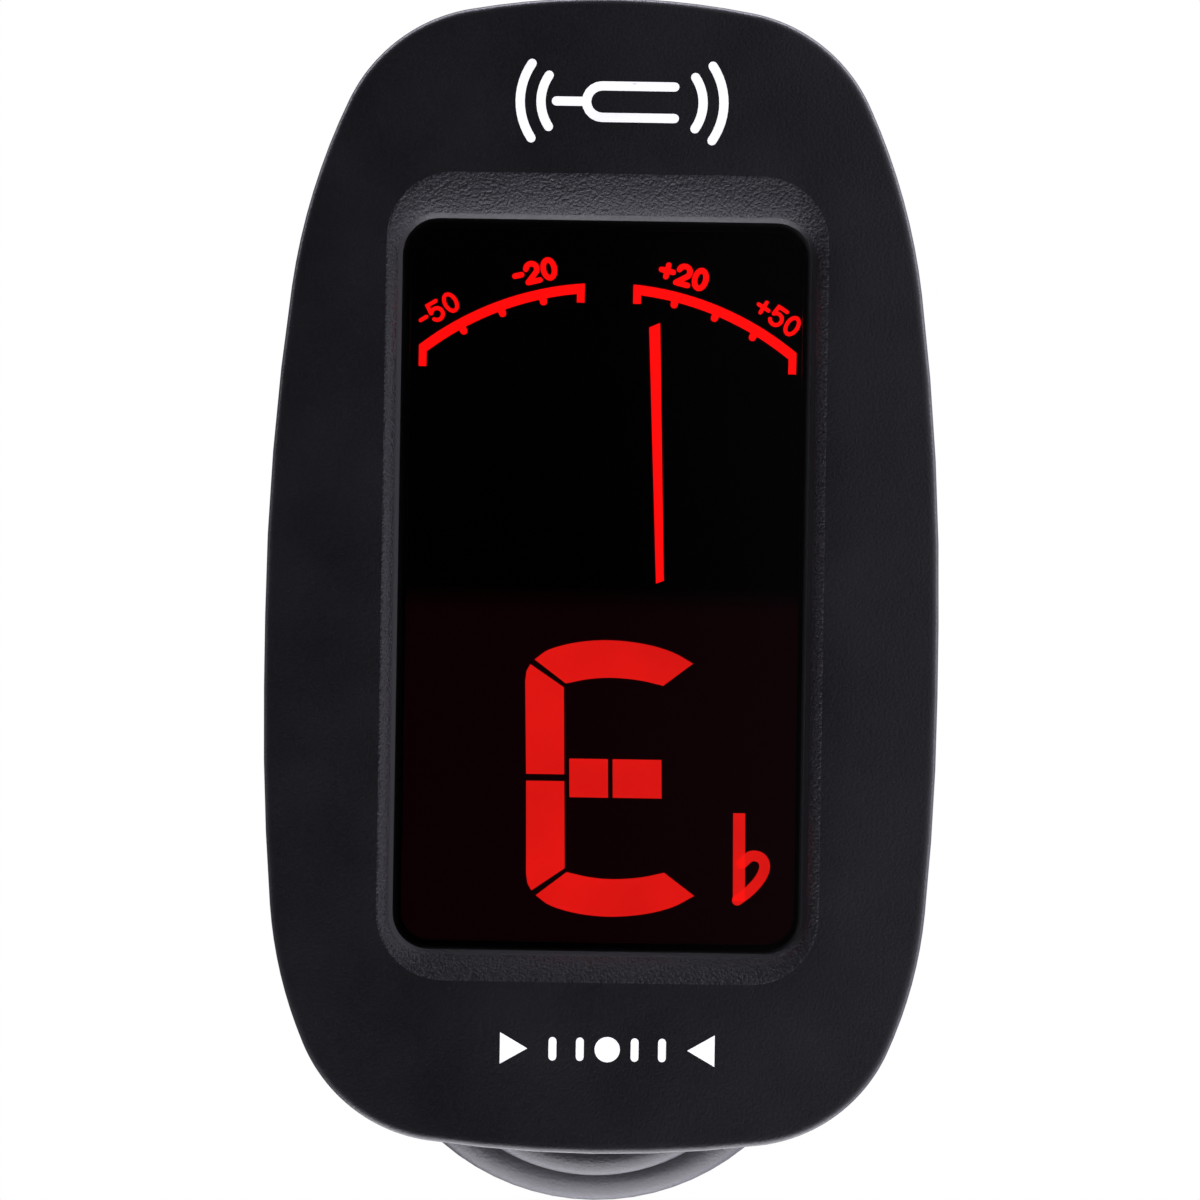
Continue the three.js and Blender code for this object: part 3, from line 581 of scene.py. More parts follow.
def front_shell():
    rays = spread_rays([head_outline(), recess_outline(), lens_outline()])

    def at(outline):
        return crossings(outline, rays)

    inner = at(head_outline(WALL))
    rings = [level(inner, SPLIT)]
    rings.append(level(at(head_outline(SEAM)), SPLIT))
    rings.append(level(at(head_outline()), SPLIT - SEAM))
    for depth in (5.2, 3.4, 1.9):
        rings.append(level(at(head_outline(DRAFT * (1 - depth / SPLIT) ** 2)), depth))
    for k in range(6):
        angle = math.pi / 2 * k / 5
        points = at(head_outline(DRAFT + EDGE * (1 - math.cos(angle))))
        rings.append(level(points, crown(points) + EDGE * (1 - math.sin(angle))))
    face = points
    outer, lip = at(recess_outline()), at(lens_outline(0.14))
    rim = at(recess_outline(0.06))
    for share in (0.03, 0.35, 0.7, 1.0):
        points = face + (rim - face) * share
        rings.append(level(points, crown(points)))
    plain = len(rings)
    floor = LENS_FRONT - 0.2
    for share in (0.03, 0.1, 0.22, 0.36, 0.5, 0.65, 0.8, 0.92, 1.0):
        points = outer + (lip - outer) * share
        start = crown(points)
        rings.append(level(points, start + (floor - start) * (0.62 * share + 0.38 * share**3)))
    textured = len(rings)
    rings.append(level(at(lens_outline(0.03)), floor + 0.1))
    rings.append(level(at(lens_outline(-0.08)), LENS_FRONT - 0.01))
    rings.append(level(at(lens_outline(0.02)), LENS_FRONT - 0.005))
    rings.append(level(at(lens_outline(0.02)), LENS_BACK + 0.03))
    sight = at(lens_outline(-LEDGE))
    rings.append(level(sight, LENS_BACK + 0.03))
    rings.append(level(sight, CAVITY_FRONT))
    rings.append(level(inner, CAVITY_FRONT))
    finish = [1 if plain - 1 <= band < textured - 1 else 0 for band in range(len(rings))]
    bm = skin(bmesh.new(), rings, closed=True, finish=finish)
    return piece("Front_shell", outward(bm), [moulded, grained], "head", "front_shell")


def display_lens():
    rays = spread_rays([lens_outline(), lens_outline(-0.6)])
    plan = [(0.0, LENS_BACK), (0.0, LENS_FRONT + 0.05), (0.015, LENS_FRONT + 0.015), (0.05, LENS_FRONT)]
    rings = [level(crossings(lens_outline(-inset), rays), depth) for inset, depth in plan]
    rings.append(level(crossings(lens_outline(-0.3), rays), LENS_FRONT))
    bm = skin(bmesh.new(), rings)
    return piece("Display_lens", outward(bm), window, "head", "display_lens")


def display_glass():
    low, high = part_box("lcd_front_glass")
    outline = rounded_outline(high.x / MM, low.z / MM - HEAD.z, high.z / MM - HEAD.z, 0.25, 3)
    bm = solid(slab, outline, low.y / MM - HEAD.y, high.y / MM - HEAD.y, (0.06, 0.06))
    return piece("Lcd_front_glass", bm, seep, "head", "lcd_front_glass")


# What the display shows: thin lit shapes just in front of its glass, drawn from the window's middle.

SEGMENT_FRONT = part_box("lcd_front_glass")[0].y / MM - HEAD.y - 0.06
SEGMENT_BACK = SEGMENT_FRONT + 0.04
DISPLAY_SIZE = 0.985
SCALE_RADIUS = 14.15
SCALE_BAND = 0.46
SCALE_TILT = math.radians(0.4)
SCALE_FROM, SCALE_TO = 4.6, 38.5
END_TICK_WIDTH, END_TICK_DROP = 0.36, 0.4
TICK_STEP = 8.4
LABEL_RADIUS = 15.0
LABELS = [("-50", -32, 0.18), ("-20", -13.4, 0.26), ("+20", 13.4, 0.26), ("+50", 31.8, 0.18)]
NEEDLE = [(2.0, 12.1), (2.5, 12.32), (2.86, 0.3), (2.5, 0.16)]


def thin(bm, outline):
    """One flat lit shape."""
    points = DISPLAY_SIZE * np.asarray(outline, float) + MIDDLE
    return skin(bm, [level(points, SEGMENT_FRONT), level(points, SEGMENT_BACK)])


def ribbon(path, width, round_ends=True):
    """The outline of a stroke of even width along a path."""
    path = np.asarray(path, float)
    way = np.diff(path, axis=0)
    way /= np.linalg.norm(way, axis=1)[:, None]
    normal = np.column_stack([-way[:, 1], way[:, 0]])
    first, last = normal[:1], normal[-1:]
    before, after = np.vstack([first, normal]), np.vstack([normal, last])
    shift = (before + after) / np.maximum(1 + np.sum(before * after, axis=1), 0.4)[:, None]
    left, right = path + shift * width / 2, path - shift * width / 2
    ends = []
    for centre, forward, side in ((path[-1], way[-1], normal[-1]), (path[0], -way[0], -normal[0])):
        turn = [math.pi * k / 6 for k in range(1, 6)] if round_ends else []
        ends.append([centre + width / 2 * (side * math.cos(a) + forward * math.sin(a)) for a in turn])
    return np.array([*left, *ends[0], *right[::-1], *ends[1]])


GLYPHS = {
    "-": [[(-0.16, 0), (0.16, 0)]],
    "+": [[(-0.28, 0), (0.28, 0)], [(0, -0.28), (0, 0.28)]],
    "2": [[*arc_path((0, 0.16), 0.26, 170, -35, 7), (-0.27, -0.42)], [(-0.27, -0.42), (0.29, -0.42)]],
    "5": [[(0.25, 0.42), (-0.2, 0.42), (-0.24, 0.05)],
          [(-0.24, 0.02), *arc_path((-0.01, -0.14), 0.28, 110, -150, 9)]],
    "0": [arc_path((0, 0), 0.26, 0, 360, 16, stretch=1.63)],
}
GLYPH_WIDTH = {"-": 0.52, "+": 0.78, "2": 0.8, "5": 0.8, "0": 0.8}


def dial(radius, angle):
    """A point of the scale, by its angle in degrees clockwise from straight up."""
    turn = math.radians(angle)
    return np.array([radius * math.sin(turn), radius * math.cos(turn)])


def scale_shape(bm, outline):
    """A lit shape of the scale, which sits very slightly turned behind the window."""
    c, s = math.cos(SCALE_TILT), math.sin(SCALE_TILT)
    return thin(bm, [(x * c + z * s, z * c - x * s) for x, z in outline])


def scale_label(bm, text, angle, stroke):
    """A number written across the scale's radius."""
    across, out = dial(1, angle + 90), dial(1, angle)
    at = -sum(GLYPH_WIDTH[sign] for sign in text) / 2
    for sign in text:
        place = at + GLYPH_WIDTH[sign] / 2
        at += GLYPH_WIDTH[sign]
        for path in GLYPHS[sign]:
            line = [LABEL_RADIUS * out + across * (place + a) + out * b for a, b in path]
            scale_shape(bm, ribbon(line, stroke))


def scale_half(bm, side):
    """One half of the scale: its band, cut upright at both ends, with end ticks and three small ones."""
    inner = SCALE_RADIUS - SCALE_BAND
    ends = [SCALE_RADIUS * math.sin(math.radians(angle)) for angle in (SCALE_FROM, SCALE_TO)]
    inner_ends = [math.degrees(math.asin(end / inner)) for end in ends]
    band = [dial(SCALE_RADIUS, side * angle) for angle in np.linspace(SCALE_FROM, SCALE_TO, 24)]
    band += [dial(inner, side * angle) for angle in np.linspace(inner_ends[1], inner_ends[0], 24)]
    scale_shape(bm, band)
    for end, way in zip(ends, (1, -1)):
        near = end + way * END_TICK_WIDTH
        tops = [math.sqrt(inner**2 - x**2) for x in (end, near)]
        foot = min(tops) - END_TICK_DROP
        tick = [(end, tops[0]), (near, tops[1]), (near, foot), (end, foot)]
        scale_shape(bm, [(side * x, z) for x, z in tick])
    for k in range(1, 4):
        angle = side * (SCALE_FROM + TICK_STEP * k)
        scale_shape(bm, ribbon([dial(inner + 0.02, angle), dial(inner - 0.14, angle)], 0.34))


def display_scale():
    bm = bmesh.new()
    scale_half(bm, -1)
    scale_half(bm, 1)
    for text, angle, stroke in LABELS:
        scale_label(bm, text, angle, stroke)
    return piece("Display_scale", outward(bm), lit, "head")


def display_needle():
    bm = bmesh.new()
    thin(bm, NEEDLE)
    return piece("Display_needle", outward(bm), lit, "head")


NOTE_MIDDLE = -8.97
NOTE_LEAN = 0.02
NOTE_CAP_OUTER = [(-3.0, 5.5), (-2.3, 5.98), (-1.0, 6.33), (0.5, 6.45), (2.1, 6.3), (3.4, 5.95), (4.4, 5.42)]
NOTE_CAP_INNER = [(3.0, 4.36), (1.9, 4.6), (0.6, 4.7), (-0.5, 4.62), (-1.55, 4.4)]
NOTE_SIDE = [(-3.2, 5.28), (-3.38, 4.95), (-3.44, 4.5), (-3.42, 0.16), (-1.64, 0.16), (-1.64, 4.22)]
NOTE_BARS = [(-1.4, 0.4), (0.62, 2.9)]
FLAT_STEM = [(6.55, -10.5), (6.6, -14.6)]
FLAT_BOWL = [(6.7, -12.85), (7.12, -12.5), (7.58, -12.56), (7.78, -12.95), (7.6, -13.5), (7.1, -14.1),
             (6.52, -14.56)]


def display_note():
    """The note's letter, in segments, and its flat sign."""
    bm = bmesh.new()

    def place(points, way):
        return [(x - NOTE_LEAN * way * z, NOTE_MIDDLE + way * z) for x, z in points]

    cap = [*smooth_path(NOTE_CAP_OUTER, 4).tolist(), *smooth_path(NOTE_CAP_INNER, 3).tolist()]
    for way in (1, -1):
        thin(bm, place(cap, way))
        thin(bm, place(NOTE_SIDE, way))
    for left, right in NOTE_BARS:
        thin(bm, place([(left, 0.9), (right, 0.9), (right, -0.9), (left, -0.9)], 1))
    thin(bm, ribbon(FLAT_STEM, 0.56, False))
    thin(bm, ribbon(smooth_path(FLAT_BOWL, 4), 0.5))
    return piece("Display_note", outward(bm), lit_note, "head")


# Plain marks printed on the face: a tuning fork with sound waves, and a low, in tune and high row. The white
# ink is drawn with a painted glow of its own.

PRINT_MIDDLE = 0.55

def printed(bm, outline):
    """One flat shape of ink, a hair proud of the crowned face."""
    points = np.asarray(outline, float) + [PRINT_MIDDLE, 0]
    return skin(bm, [level(points, crown(points) - 0.012), level(points, crown(points) + 0.03)])


def printed_fork():
    bm = bmesh.new()
    height = LENS_HIGH + RECESS_TOP + 3.35
    half_gap, stroke = 0.72, 0.42
    bend = arc_path((-0.9, height), half_gap, 90, 270, 10)
    fork = [(2.4, height + half_gap), *bend, (2.4, height - half_gap)]
    printed(bm, ribbon(fork, stroke))
    printed(bm, ribbon([(-1.72, height), (-3.0, height)], stroke))
    for side in (-1, 1):
        for k in range(2):
            wave = arc_path((1.6, height), 2.1 + 0.95 * k, -34, 34, 12)
            printed(bm, ribbon([(side * x, z) for x, z in wave], stroke))
    return piece("Printed_fork", outward(bm), print_white_painted_glow, "head")


def printed_row():
    bm = bmesh.new()
    height = LENS_LOW - RECESS_BOTTOM - 3.1
    for side in (-1, 1):
        printed(bm, [(side * 4.9, height + 0.72), (side * 3.65, height), (side * 4.9, height - 0.72)])
        for k in (1, 2):
            printed(bm, ribbon([(side * 1.25 * k, height - 0.36), (side * 1.25 * k, height + 0.36)], 0.36))
    printed(bm, arc_path((0, height), 0.58, 0, 345, 23))
    return piece("Printed_row", outward(bm), print_white_painted_glow, "head")


# The back of the head.

button_low, button_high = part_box("power_button")
BUTTON_HEIGHT = (button_low.z + button_high.z) / 2 / MM - HEAD.z
BUTTON_RADIUS = 2.75
BUTTON_TOP = button_high.y / MM - HEAD.y
cell_low, cell_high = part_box("battery")
CELL_MIDDLE = (cell_low.z + cell_high.z) / 2 / MM - HEAD.z
CELL_RADIUS = (cell_high.x - cell_low.x) / 2 / MM
CELL_FRONT = cell_low.y / MM - HEAD.y
CELL_BACK = cell_high.y / MM - HEAD.y
door_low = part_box("battery_door")[0]
DOOR_HALF = 10.6
DOOR_RAIL = 0.6
DOOR_FOOT = door_low.z / MM - HEAD.z
DOOR_FRONT = door_low.y / MM - HEAD.y
DOOR_MIDDLE = np.array([0.0, 37.0])
SCREW_SEAT = 9.5
SCREW_HOLE, SCREW_HEAD_HOLE, BOSS_RADIUS = 0.95, 1.8, 2.3
CELL_PLAY, CUP_REACH = 0.3, 1.1
CONTACT_GAP = [(-3, 41), (3, 41), (3, 46), (-3, 46)]
LUG_REACH, EAR_ROOT = 2.9, 10.7
TILT_DEPTH, TILT_HEIGHT, TILT_RADIUS, TILT_PIN = 15.0, 3.0, 2.5, 0.9
EAR_INNER, EAR_OUTER = 3.3, 5.5
screw_places = []
for number in range(1, 5):
    low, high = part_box(f"housing_screw_{number}")
    screw_places.append(((low.x + high.x) / 2 / MM, (low.z + high.z) / 2 / MM - HEAD.z))


def back_rings(rays):
    """Rings of the head's rounded back, from just behind the split to the flat."""
    start = BACK - BACK_ROUND
    plan = [(SPLIT + 1, 0.0), (start, 0.0)]
    for k in range(1, 9):
        angle = math.pi / 2 * k / 8
        plan.append((start + BACK_ROUND * math.sin(angle), BACK_ROUND * (1 - math.cos(angle))))
    return [level(crossings(head_outline(inset), rays), depth) for depth, inset in plan]


def half_turn(centre, radius, way):
    """Half a circle from straight up to straight down, anticlockwise where way is 1."""
    turns = [math.radians(90 + way * 180 * k / 20) for k in range(21)]
    return [(centre[0] + radius * math.cos(a), centre[1] + radius * math.sin(a)) for a in turns]


def hinge_lug(x0, x1, root, reach):
    """An ear round the tilt axis that runs back to a root plane."""
    way = 1 if root > TILT_DEPTH else -1
    outline = [(root, TILT_HEIGHT + reach)]
    outline += half_turn((TILT_DEPTH, TILT_HEIGHT), TILT_RADIUS, way)
    outline.append((root, TILT_HEIGHT - reach))
    return solid(slab, outline, x0, x1, (0.22, 0.22), axis="x")


def bore(radius, low, high, centre, axis="y", flare=0.0, flare_at=0.0):
    """A round cutting tool, opened out where it meets a surface at flare_at."""
    profile = [(radius, low), (radius, high)]
    if flare:
        wide = radius + 2 * flare
        profile = [(radius, low), (radius, flare_at - flare), (wide, flare_at + flare), (wide, high)]
    return solid(turned, profile, centre, axis)


def door_pocket():
    top = HEIGHT + 6
    rings = []
    for depth, grow in ((DOOR_FRONT - 0.05, 0), (BACK - 0.12, 0), (BACK + 0.12, 0.24), (BACK + 1, 0.24)):
        outline = rounded_outline(DOOR_HALF + 0.1 + grow, DOOR_FOOT - 0.1 - grow, top, 2 + grow)
        rings.append(level(outline, depth))
    return solid(skin, rings)


def rail_grooves():
    wide = DOOR_HALF + DOOR_RAIL + 0.1
    outline = rounded_outline(wide, DOOR_FOOT + 1.9, HEIGHT + 5, 0.2, 2)
    return solid(slab, outline, DOOR_FRONT - 0.05, DOOR_FRONT + 0.5, (0.01, 0.01))


def rear_shell():
    rays = spread_rays([head_outline(), head_outline(BACK_ROUND)])

    def at(outline):
        return crossings(outline, rays)

    rings = [level(at(head_outline(SEAM)), SPLIT + 0.02), level(at(head_outline()), SPLIT + 0.02 + SEAM)]
    rings += back_rings(rays)
    rings.append(level(at(head_outline(BACK_ROUND + 0.5)), BACK))
    blank = solid(skin, rings)
    cavity = at(head_outline(WALL))
    hollow = solid(skin, [level(cavity, SPLIT - 1), level(cavity, CAVITY_BACK)])
    cup_radius = CELL_RADIUS + CUP_REACH
    cup = solid(turned, [(cup_radius, SPLIT + 0.3), (cup_radius, 10.6)], (0, CELL_MIDDLE), steps=96)
    contact_gap = solid(slab, CONTACT_GAP, 5, CAVITY_BACK, (0.01, 0.01))
    steps = [cut(hollow), add(combined(cup, cut(contact_gap)))]
    for place in screw_places:
        steps.append(add(solid(turned, [(BOSS_RADIUS, SPLIT + 0.07), (BOSS_RADIUS, 10.7)], place, steps=32)))
    for side in (-1, 1):
        x0, x1 = sorted((side * EAR_INNER, side * EAR_OUTER))
        steps.append(add(hinge_lug(x0, x1, EAR_ROOT, LUG_REACH)))
    steps.append(cut(door_pocket()))
    steps.append(cut(rail_grooves()))
    pocket_floor = DOOR_FRONT - 0.05
    cell_bore = bore(CELL_RADIUS + CELL_PLAY, 6, BACK, (0, CELL_MIDDLE), flare=0.1, flare_at=pocket_floor)
    steps.append(cut(cell_bore))
    button_bore = bore(BUTTON_RADIUS + 0.1, 9, BACK + 1, (0, BUTTON_HEIGHT), flare=0.12, flare_at=BACK)
    steps.append(cut(button_bore))
    steps.append(cut(bore(TILT_PIN + 0.05, -8, 8, (TILT_DEPTH, TILT_HEIGHT), axis="x")))
    for place in screw_places:
        steps.append(cut(bore(SCREW_HOLE, 6, BACK + 1, place)))
        steps.append(cut(bore(SCREW_HEAD_HOLE, SCREW_SEAT, BACK + 2, place, flare=0.1, flare_at=BACK)))
    bm = combined(blank, *steps)
    return piece("Rear_shell", bm, moulded, "head", "rear_shell", crease=28)


def battery_door():
    """The sliding door: part of the rounded back, with a rail down each side and a ribbed thumb place."""
    top = HEIGHT + 6
    face = rounded_outline(DOOR_HALF - 0.05, DOOR_FOOT, top, 2)
    wide = rounded_outline(DOOR_HALF + DOOR_RAIL - 0.05, DOOR_FOOT, top, 2)
    rays = spread_rays([head_outline(), head_outline(BACK_ROUND), face, wide], DOOR_MIDDLE)
    plan = [(DOOR_FRONT, 0.08, wide), (DOOR_FRONT + 0.08, 0.0, wide), (DOOR_FRONT + 0.4, 0.0, wide),
            (DOOR_FRONT + 0.4, 0.0, face), (BACK - 0.22, 0.0, face)]
    plan += [(BACK - 0.22 * (1 - math.sin(a)), 0.22 * (1 - math.cos(a)), face)
             for a in (math.pi / 8 * k for k in range(1, 5))]
    rings = []
    for depth, edge, outline in plan:
        round_part = max(0.0, min(1.0, (depth - BACK + BACK_ROUND) / BACK_ROUND))
        inset = BACK_ROUND * (1 - math.sqrt(1 - round_part**2))
        limit = crossings(head_outline(min(inset, BACK_ROUND)), rays, DOOR_MIDDLE)
        own = crossings(inset_polygon(outline, edge) if edge else outline, rays, DOOR_MIDDLE)
        nearer = np.hypot(*(own - DOOR_MIDDLE).T) < np.hypot(*(limit - DOOR_MIDDLE).T)
        rings.append(level(np.where(nearer[:, None], own, limit), depth))
    last = np.array([(x, z) for x, _, z in rings[-1]])
    rings.append(level(DOOR_MIDDLE + (last - DOOR_MIDDLE) * 0.94, BACK))
    door = solid(skin, rings)
    cuts = []
    for row in range(5):
        z = DOOR_FOOT + 2.6 + row * 1.15
        cuts.append(cut(solid(rod, (-4.4, BACK + 0.12, z), (4.4, BACK + 0.12, z), 0.36)))
    arrow = [(-1.3, DOOR_FOOT + 8.9), (0, DOOR_FOOT + 10.5), (1.3, DOOR_FOOT + 8.9)]
    cuts.append(cut(solid(slab, arrow, BACK - 0.2, BACK + 0.6, (0.02, 0.02))))
    bm = combined(door, *cuts)
    return piece("Battery_door", bm, moulded, "door", "battery_door", crease=28)


def power_button():
    foot = button_low.y / MM - HEAD.y
    profile = [(0.05, foot), (BUTTON_RADIUS + 0.65, foot), (BUTTON_RADIUS + 0.65, foot + 0.45),
               (BUTTON_RADIUS, foot + 0.45), (BUTTON_RADIUS, BUTTON_TOP - 0.06), (1.9, BUTTON_TOP),
               (1.7, BUTTON_TOP - 0.12), (0.05, BUTTON_TOP - 0.2)]
    bm = solid(turned, rounded_profile(profile, 0.22), (0, BUTTON_HEIGHT))
    return piece("Power_button", bm, button_rubber, "button", "power_button")


def housing_screw(number, place):
    x, z = place
    seat, top = SCREW_SEAT + 0.02, SCREW_SEAT + 1.05
    profile = [(0.08, 4.4), (0.4, 4.4), (0.75, 5.2), (0.75, seat), (1.55, seat), (1.55, seat + 0.45),
               (1.2, top - 0.04), (0.05, top)]
    body = solid(turned, rounded_profile(profile, 0.16), (x, z), steps=40)
    cuts = []
    for wide, tall in ((0.95, 0.19), (0.19, 0.95)):
        outline = [(x - wide, z - tall), (x + wide, z - tall), (x + wide, z + tall), (x - wide, z + tall)]
        cuts.append(cut(solid(slab, outline, top - 0.6, top + 0.5, (0.06, 0.01))))
    bm = combined(body, *cuts)
    name = f"housing_screw_{number}"
    return piece(name.capitalize(), bm, black_steel, "head", name)


def battery():
    """A coin cell: the can's folded rim and its slightly dished back, with a raised plus sign."""
    radius, front, back = CELL_RADIUS, CELL_FRONT, CELL_BACK
    profile = [(0.05, front), (radius - 1.2, front), (radius - 1.25, front + 0.4)]
    profile += [(radius - 0.4, front + 0.4), (radius, front + 0.8), (radius, back - 0.02)]
    profile += [(radius - 0.8, back - 0.02), (radius - 1.2, back - 0.1), (0.05, back - 0.1)]
    bm = solid(turned, rounded_profile(profile, 0.22), (0, CELL_MIDDLE), steps=96)
    for wide, tall in ((1.6, 0.28), (0.28, 1.6)):
        outline = rounded_outline(wide, CELL_MIDDLE - tall, CELL_MIDDLE + tall, 0.12, 3)
        slab(bm, outline, back - 0.14, back - 0.01, (0.01, 0.04))
    return piece("Battery", outward(bm), cell_can, "head", "battery")


# Tilt hinge and swivel.

disc_low, disc_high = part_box("swivel_disc")
DISC_RADIUS = (disc_high.x - disc_low.x) / 2 / MM
DISC_HEIGHT = 6.6
DISC_FRONT = 18.4
DISC_THICK = 2.2
POST_RADIUS = 2.4
BARREL_HALF = 2.9


def swivel_disc():
    back = DISC_FRONT + DISC_THICK
    post_end = disc_high.y / MM - HEAD.y
    rim = [(DISC_RADIUS - 1 + math.sin(a), DISC_FRONT + 1.12 - math.cos(a))
           for a in (math.pi / 2 * k / 8 for k in range(9))]
    profile = [(0.05, DISC_FRONT), (4.0, DISC_FRONT + 0.03), (6.2, DISC_FRONT + 0.08), *rim]
    profile += [(DISC_RADIUS, back - 0.25), (DISC_RADIUS - 0.25, back), (POST_RADIUS, back)]
    profile += [(POST_RADIUS, post_end), (0.9, post_end), (0.9, back - 0.8), (0.05, back - 0.8)]
    body = solid(turned, profile, (0, DISC_HEIGHT), steps=128)
    barrel = hinge_lug(-BARREL_HALF, BARREL_HALF, DISC_FRONT + 0.8, LUG_REACH)
    hole = bore(TILT_PIN + 0.07, -5, 5, (TILT_DEPTH, TILT_HEIGHT), axis="x")
    bm = combined(body, add(barrel), cut(hole))
    return piece("Swivel_disc", bm, disc_black, "swivel", "swivel_disc", crease=28)


def tilt_pin():
    """The pin with a low round head at each end. Its profile is the same from both ends."""
    end = EAR_OUTER + 0.6
    under = EAR_OUTER + 0.1
    half = [(0.05, end), (1.15, end), (1.5, end - 0.22), (1.5, under), (TILT_PIN, under)]
    profile = [(radius, -t) for radius, t in half] + half[::-1]
    bm = solid(turned, rounded_profile(profile, 0.12), (TILT_DEPTH, TILT_HEIGHT), "x", 40)
    return piece("Tilt_pin", bm, steel, "head", "tilt_pin")


# The clip, drawn in the part's own frame.

front_low, front_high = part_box("front_jaw")
pin_low, pin_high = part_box("clip_pin")
JAW_HALF = front_high.x / MM
JAW_TOP = front_high.z / MM
JAW_FOOT = front_low.z / MM
JAW_FRONT = front_low.y / MM
PAD_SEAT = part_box("front_pad")[0].y / MM
REAR_PAD_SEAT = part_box("rear_pad")[1].y / MM
PIVOT = np.array([(pin_low.y + pin_high.y) / 2, (pin_low.z + pin_high.z) / 2]) / MM
PIN_RADIUS = (pin_high.z - pin_low.z) / 2 / MM
TIP_CORNER = 6.0
PLATE = 2.6
CLIP_EAR_RADIUS = 2.6
THROAT_INNER, LEVER_INNER = 7.2, 10.5
WASHER_POCKET, WASHER_DEPTH = 3.6, 1.5
SWIVEL_Z = DISC_HEIGHT + HEAD.z


def jaw_outline(steps=36):
    """The plan of both jaws: a round lever end and a squarer tip."""
    middle = JAW_FOOT + JAW_HALF
    points = []
    for k in range(steps + 1):
        angle = math.pi * (1 + k / steps)
        points.append((JAW_HALF * math.cos(angle), middle + JAW_HALF * math.sin(angle)))
    for side, start in ((1, 0), (-1, 90)):
        centre = (side * (JAW_HALF - TIP_CORNER), JAW_TOP - TIP_CORNER)
        points += arc_path(centre, TIP_CORNER, start, start + 90, 10)
    return points


def clip_ears(inner, outer, root, heel=None):
    """A pair of ears round the clip pin, as steps for combined()."""
    y, z = PIVOT
    radius = CLIP_EAR_RADIUS
    way = 1 if root > y else -1
    outline = [(root, z + radius), *half_turn((y, z), radius, way), (root, z - radius)]
    if heel is not None:
        outline = [(root, z + radius), (heel, z + radius), (heel, z)] + outline[12:]
    steps = []
    for side in (-1, 1):
        x0, x1 = sorted((side * inner, side * outer))
        steps.append(add(solid(slab, outline, x0, x1, (0.18, 0.18), axis="x")))
    return steps


def front_jaw():
    plate = solid(slab, jaw_outline(), JAW_FRONT, PAD_SEAT, (1.3, 0.5), steps=6)
    seat, beyond, swivel = PAD_SEAT - WASHER_DEPTH, PAD_SEAT + 2, (0, SWIVEL_Z)
    steps = clip_ears(8.2, 10, PAD_SEAT - 0.8)
    steps.append(cut(bore(POST_RADIUS + 0.1, JAW_FRONT - 2, beyond, swivel)))
    steps.append(cut(bore(WASHER_POCKET, seat, beyond, swivel, flare=0.12, flare_at=PAD_SEAT)))
    steps.append(cut(bore(PIN_RADIUS + 0.08, -12, 12, tuple(PIVOT), axis="x")))
    bm = combined(plate, *steps)
    return piece("Front_jaw", bm, soft_black, "clip", "front_jaw", PART, crease=28)


REAR_BOW = [(LEVER_INNER, -37.7), (8.75, -30.5), (7.25, -24.2), (THROAT_INNER, -17.5), (7.15, -11.6),
            (5.6, -8.3), (3.75, -5.6), (3.6, -2.0), (3.6, 2.5), (3.6, 7.0)]


def rear_jaw():
    """A bowed plate whose width follows the clip's plan, with all its edges rounded."""
    path = smooth_path(REAR_BOW, 10)
    heights = [JAW_FOOT + JAW_HALF * (1 - math.cos(a)) for a in np.linspace(0.06, math.pi / 2, 22)]
    heights += list(np.linspace(JAW_FOOT + JAW_HALF + 0.9, JAW_TOP - TIP_CORNER, 34))
    heights += [JAW_TOP - TIP_CORNER + TIP_CORNER * math.sin(a) for a in np.linspace(0.1, math.pi / 2, 16)]
    edge, half = 0.8, PLATE / 2
    rings = []
    for height in heights:
        inner = np.interp(height, path[:, 1], path[:, 0])
        near = [np.interp(height + step, path[:, 1], path[:, 0]) for step in (-0.2, 0.2)]
        slope = np.array([near[1] - near[0], 0.4])
        slope /= np.linalg.norm(slope)
        outward = np.array([slope[1], -slope[0]])
        low_part = JAW_FOOT + JAW_HALF - height
        high_part = height - JAW_TOP + TIP_CORNER
        if low_part > 0:
            width = math.sqrt(max(0.0, JAW_HALF**2 - low_part**2))
        elif high_part > 0:
            width = JAW_HALF - TIP_CORNER + math.sqrt(max(0.0, TIP_CORNER**2 - high_part**2))
        else:
            width = JAW_HALF
        end_gap = min(height - JAW_FOOT, JAW_TOP - height)
        squeeze = edge - math.sqrt(max(0.0, edge**2 - max(0.0, edge - end_gap) ** 2))
        thick = half - squeeze
        ring = rounded_outline(width, -thick, thick, min(edge, thick * 0.98, width * 0.98), 5)
        centre = np.array([inner, height]) + outward * half
        rings.append([(x, *(centre + outward * n)) for x, n in ring])
    bm = solid(skin, rings)
    steps = clip_ears(6, 7.8, 7.7, heel=PAD_SEAT + 0.1)
    steps.append(cut(bore(PIN_RADIUS + 0.1, -12, 12, tuple(PIVOT), axis="x")))
    for row in range(6):
        z = JAW_FOOT + 3.6 + 1.5 * row
        reach = math.sqrt(JAW_HALF**2 - (JAW_FOOT + JAW_HALF - z) ** 2) - 2.6
        y = np.interp(z, path[:, 1], path[:, 0]) + PLATE * 1.02
        steps.append(add(solid(rod, (-reach, y, z), (reach, y, z), 0.34, steps=16)))
    bm = combined(bm, *steps)
    return piece("Rear_jaw", bm, soft_black, "rear_jaw", "rear_jaw", PART, crease=28)


